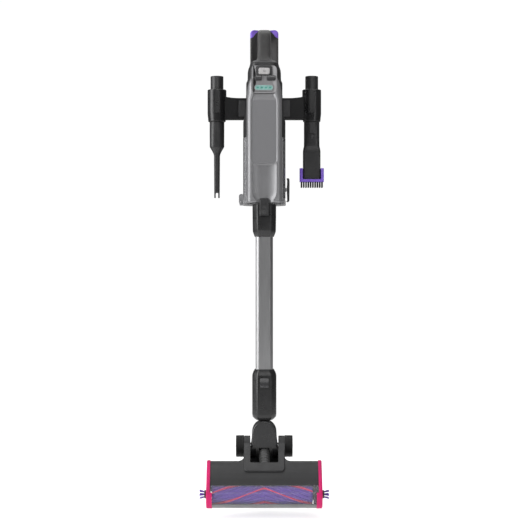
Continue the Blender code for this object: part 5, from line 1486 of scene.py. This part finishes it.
def make_brush_roll():
    """The roll: a drum with a groove for the belt, chevron strips round it, and tufts at its ends."""
    profile = [(0.0038, -0.13), (0.0038, -0.1165), (0.015, -0.116), (DRUM_R - 0.001, -0.115),
               (DRUM_R, -0.114), (DRUM_R, ROLL_HALF - 0.001), (DRUM_R - 0.001, ROLL_HALF), (0.0125, 0.1086),
               (0.0125, 0.1172), (0.0038, 0.1176), (0.0038, 0.13)]
    drum = turned("roll_drum", profile, "X", (0.0, 0.0), ROLL, False, 96)
    dress(drum, "purple_bristle", "brush_roll", ("brush_roll",))
    make_roll_strips()
    make_roll_ends()


def make_roll_strips():
    """Sixteen chevron strips in four equal quarters: one pink or black strip, then three purple ones."""
    rows = []
    per_turn = 16
    for row in range(per_turn):
        start = 2 * pi * row / per_turn
        if row % 4:
            name = f"bristle_row_{row}"
            rows.append(helix(name, start, ROLL_R - 0.0006, 0.0026, 0.9, 0.0011))
    dress(joined("roll_bristles", rows), "purple_bristle", "brush_roll")
    pinks = []
    for row in range(3):
        pinks.append(helix(f"pink_{row}", 2 * pi * row / 4, ROLL_R, 0.0026, 2.0))
    dress(joined("roll_pink_strips", pinks), "pink_strip", "brush_roll")
    blacks = [helix("black_3", 2 * pi * 3 / 4, ROLL_R - 0.0002, 0.0022, 1.0, 0.0008)]
    dress(joined("roll_black_strips", blacks), "black_bristle", "brush_roll")


def make_roll_ends():
    """A dark hub at each end of the roll, with six tufts that reach outwards."""
    tufts = []
    for side in (-1, 1):
        profile = ((0.0, 0.1296), (0.0088, 0.1296), (0.0092, 0.1303), (0.0092, 0.1326), (0.0084, 0.1333),
                   (0.0, 0.1333))
        profile = [(radius, side * place) for radius, place in profile]
        dress(turned("tuft_hub", profile, "X", (0.0, 0.0), ROLL, False, 56), "dark_gloss", "brush_roll")
        for number in range(6):
            turn = 2 * pi * number / 6 + 0.3
            tufts.append(side_tuft(side, turn))
    dress(joined("roll_side_tufts", tufts), "purple_bristle", "brush_roll")


def side_tuft(side, turn):
    """A tuft of bristles that leaves the roll's end and leans outwards."""
    points = []
    faces = []
    for number in range(16):
        spin = number * GOLDEN_TURN
        spread = 0.0011 * sqrt(number / 16)
        y, z = spread * cos(spin), spread * sin(spin)
        root = Vector((side * 0.1321, 0.0062 * cos(turn) + y, 0.0062 * sin(turn) + z))
        lean = 0.003 + 0.0006 * cos(5 * spin)
        tip = root + Vector((side * 0.0116, lean * cos(turn) + y, lean * sin(turn) + z))
        add_bristle(points, faces, ((root, 0.00034), (tip, 0.00024)), 4, True)
    return mesh_object("side_tuft", points, faces, ROLL)


def make_wheels():
    """Rubber tyres with fine ribs, each with a hub disc, on steel axles."""
    near, far = 0.0469, 0.0649
    for name, side in (("left", -1), ("right", 1)):
        profile = [(AXLE_BORE, near), (0.024, near), (0.0247, near + 0.0004), (0.025, near + 0.0012)]
        ribs = 7
        for rib in range(ribs):
            start = near + 0.003 + rib * 0.00185
            profile += [(AXLE_U, start), (AXLE_U, start + 0.001), (AXLE_U - 0.0007, start + 0.0012),
                        (AXLE_U - 0.0007, start + 0.0017)]
        profile += [(0.025, far - 0.0011), (0.0247, far - 0.0004), (0.024, far), (0.0195, far),
                    (0.0184, far - 0.001), (0.009, far - 0.0014), (0.0084, far - 0.0003),
                    (AXLE_BORE, far - 0.0003)]
        profile = [(radius, side * place) for radius, place in profile]
        wheel = turned(f"wheel_{name}_fine", profile, "X", (0.0, 0.0), HEAD, True, 96)
        dress(wheel, "rubber", f"{name}_wheel", (f"wheel_{name}",))
        remake(f"wheel_axle_{name}", "steel", "floor_head", 0.0004)


def make_hose():
    """The ribbed hose between fork and head, drawn for the head's resting tilt."""
    end = HEAD @ Vector((0.0, -0.08, 0.003)) - Vector((0, WAND_Y, PITCH_Z))
    end = Vector((end.y, end.z))
    start = Vector((0.0, 0.004))
    leave = Vector((-0.004, -0.018))
    arrive = end + Vector((0.022 * cos(DROOP), 0.022 * sin(DROOP)))
    route = []
    steps = 132
    for step in range(steps + 1):
        t = step / steps
        route.append(start * (1 - t) ** 3 + leave * (3 * t * (1 - t) ** 2)
                     + arrive * (3 * t * t * (1 - t)) + end * t ** 3)
    per_rib = 12
    rings = []
    for step, spot in enumerate(route):
        before = route[max(step - 1, 0)]
        after = route[min(step + 1, steps)]
        along = (after - before).normalized()
        radius = 0.0116 + 0.001 * cos(2 * pi * step / per_rib)
        ring = []
        for a, b in oval(radius, radius, sides=56):
            ring.append((a, spot.x - along.y * b, spot.y + along.x * b))
        rings.append(ring)
    axis = Matrix.Translation((0, WAND_Y, PITCH_Z))
    hose = skin("air_hose_fine", rings, axis)
    dress(hose, "hose_rubber", None, ("air_hose",))
    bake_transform(hose)


def make_head_inner():
    """The drive inside the head, from the frame with fine edges."""
    remake("brush_motor", "steel", "floor_head", 0.0003)
    remake("motor_pulley", "steel", "motor_pulley", 0.0003)
    remake("drive_belt", "rubber", "floor_head", 0.0003)


# ---------------------------------------------------------------- put it together
make_camera()
make_lights()
make_floor()
make_bracket()
make_crevice_tool()
make_brush_tool()
make_brush_slider()
make_housing()
make_spine()
make_panel()
make_buttons()
make_display()
make_bin()
make_handle()
make_hand_inner()
make_wand()
make_neck()
make_fork()
make_head_shell()
make_nose()
make_end_caps()
make_brush_roll()
make_wheels()
make_hose()
make_head_inner()
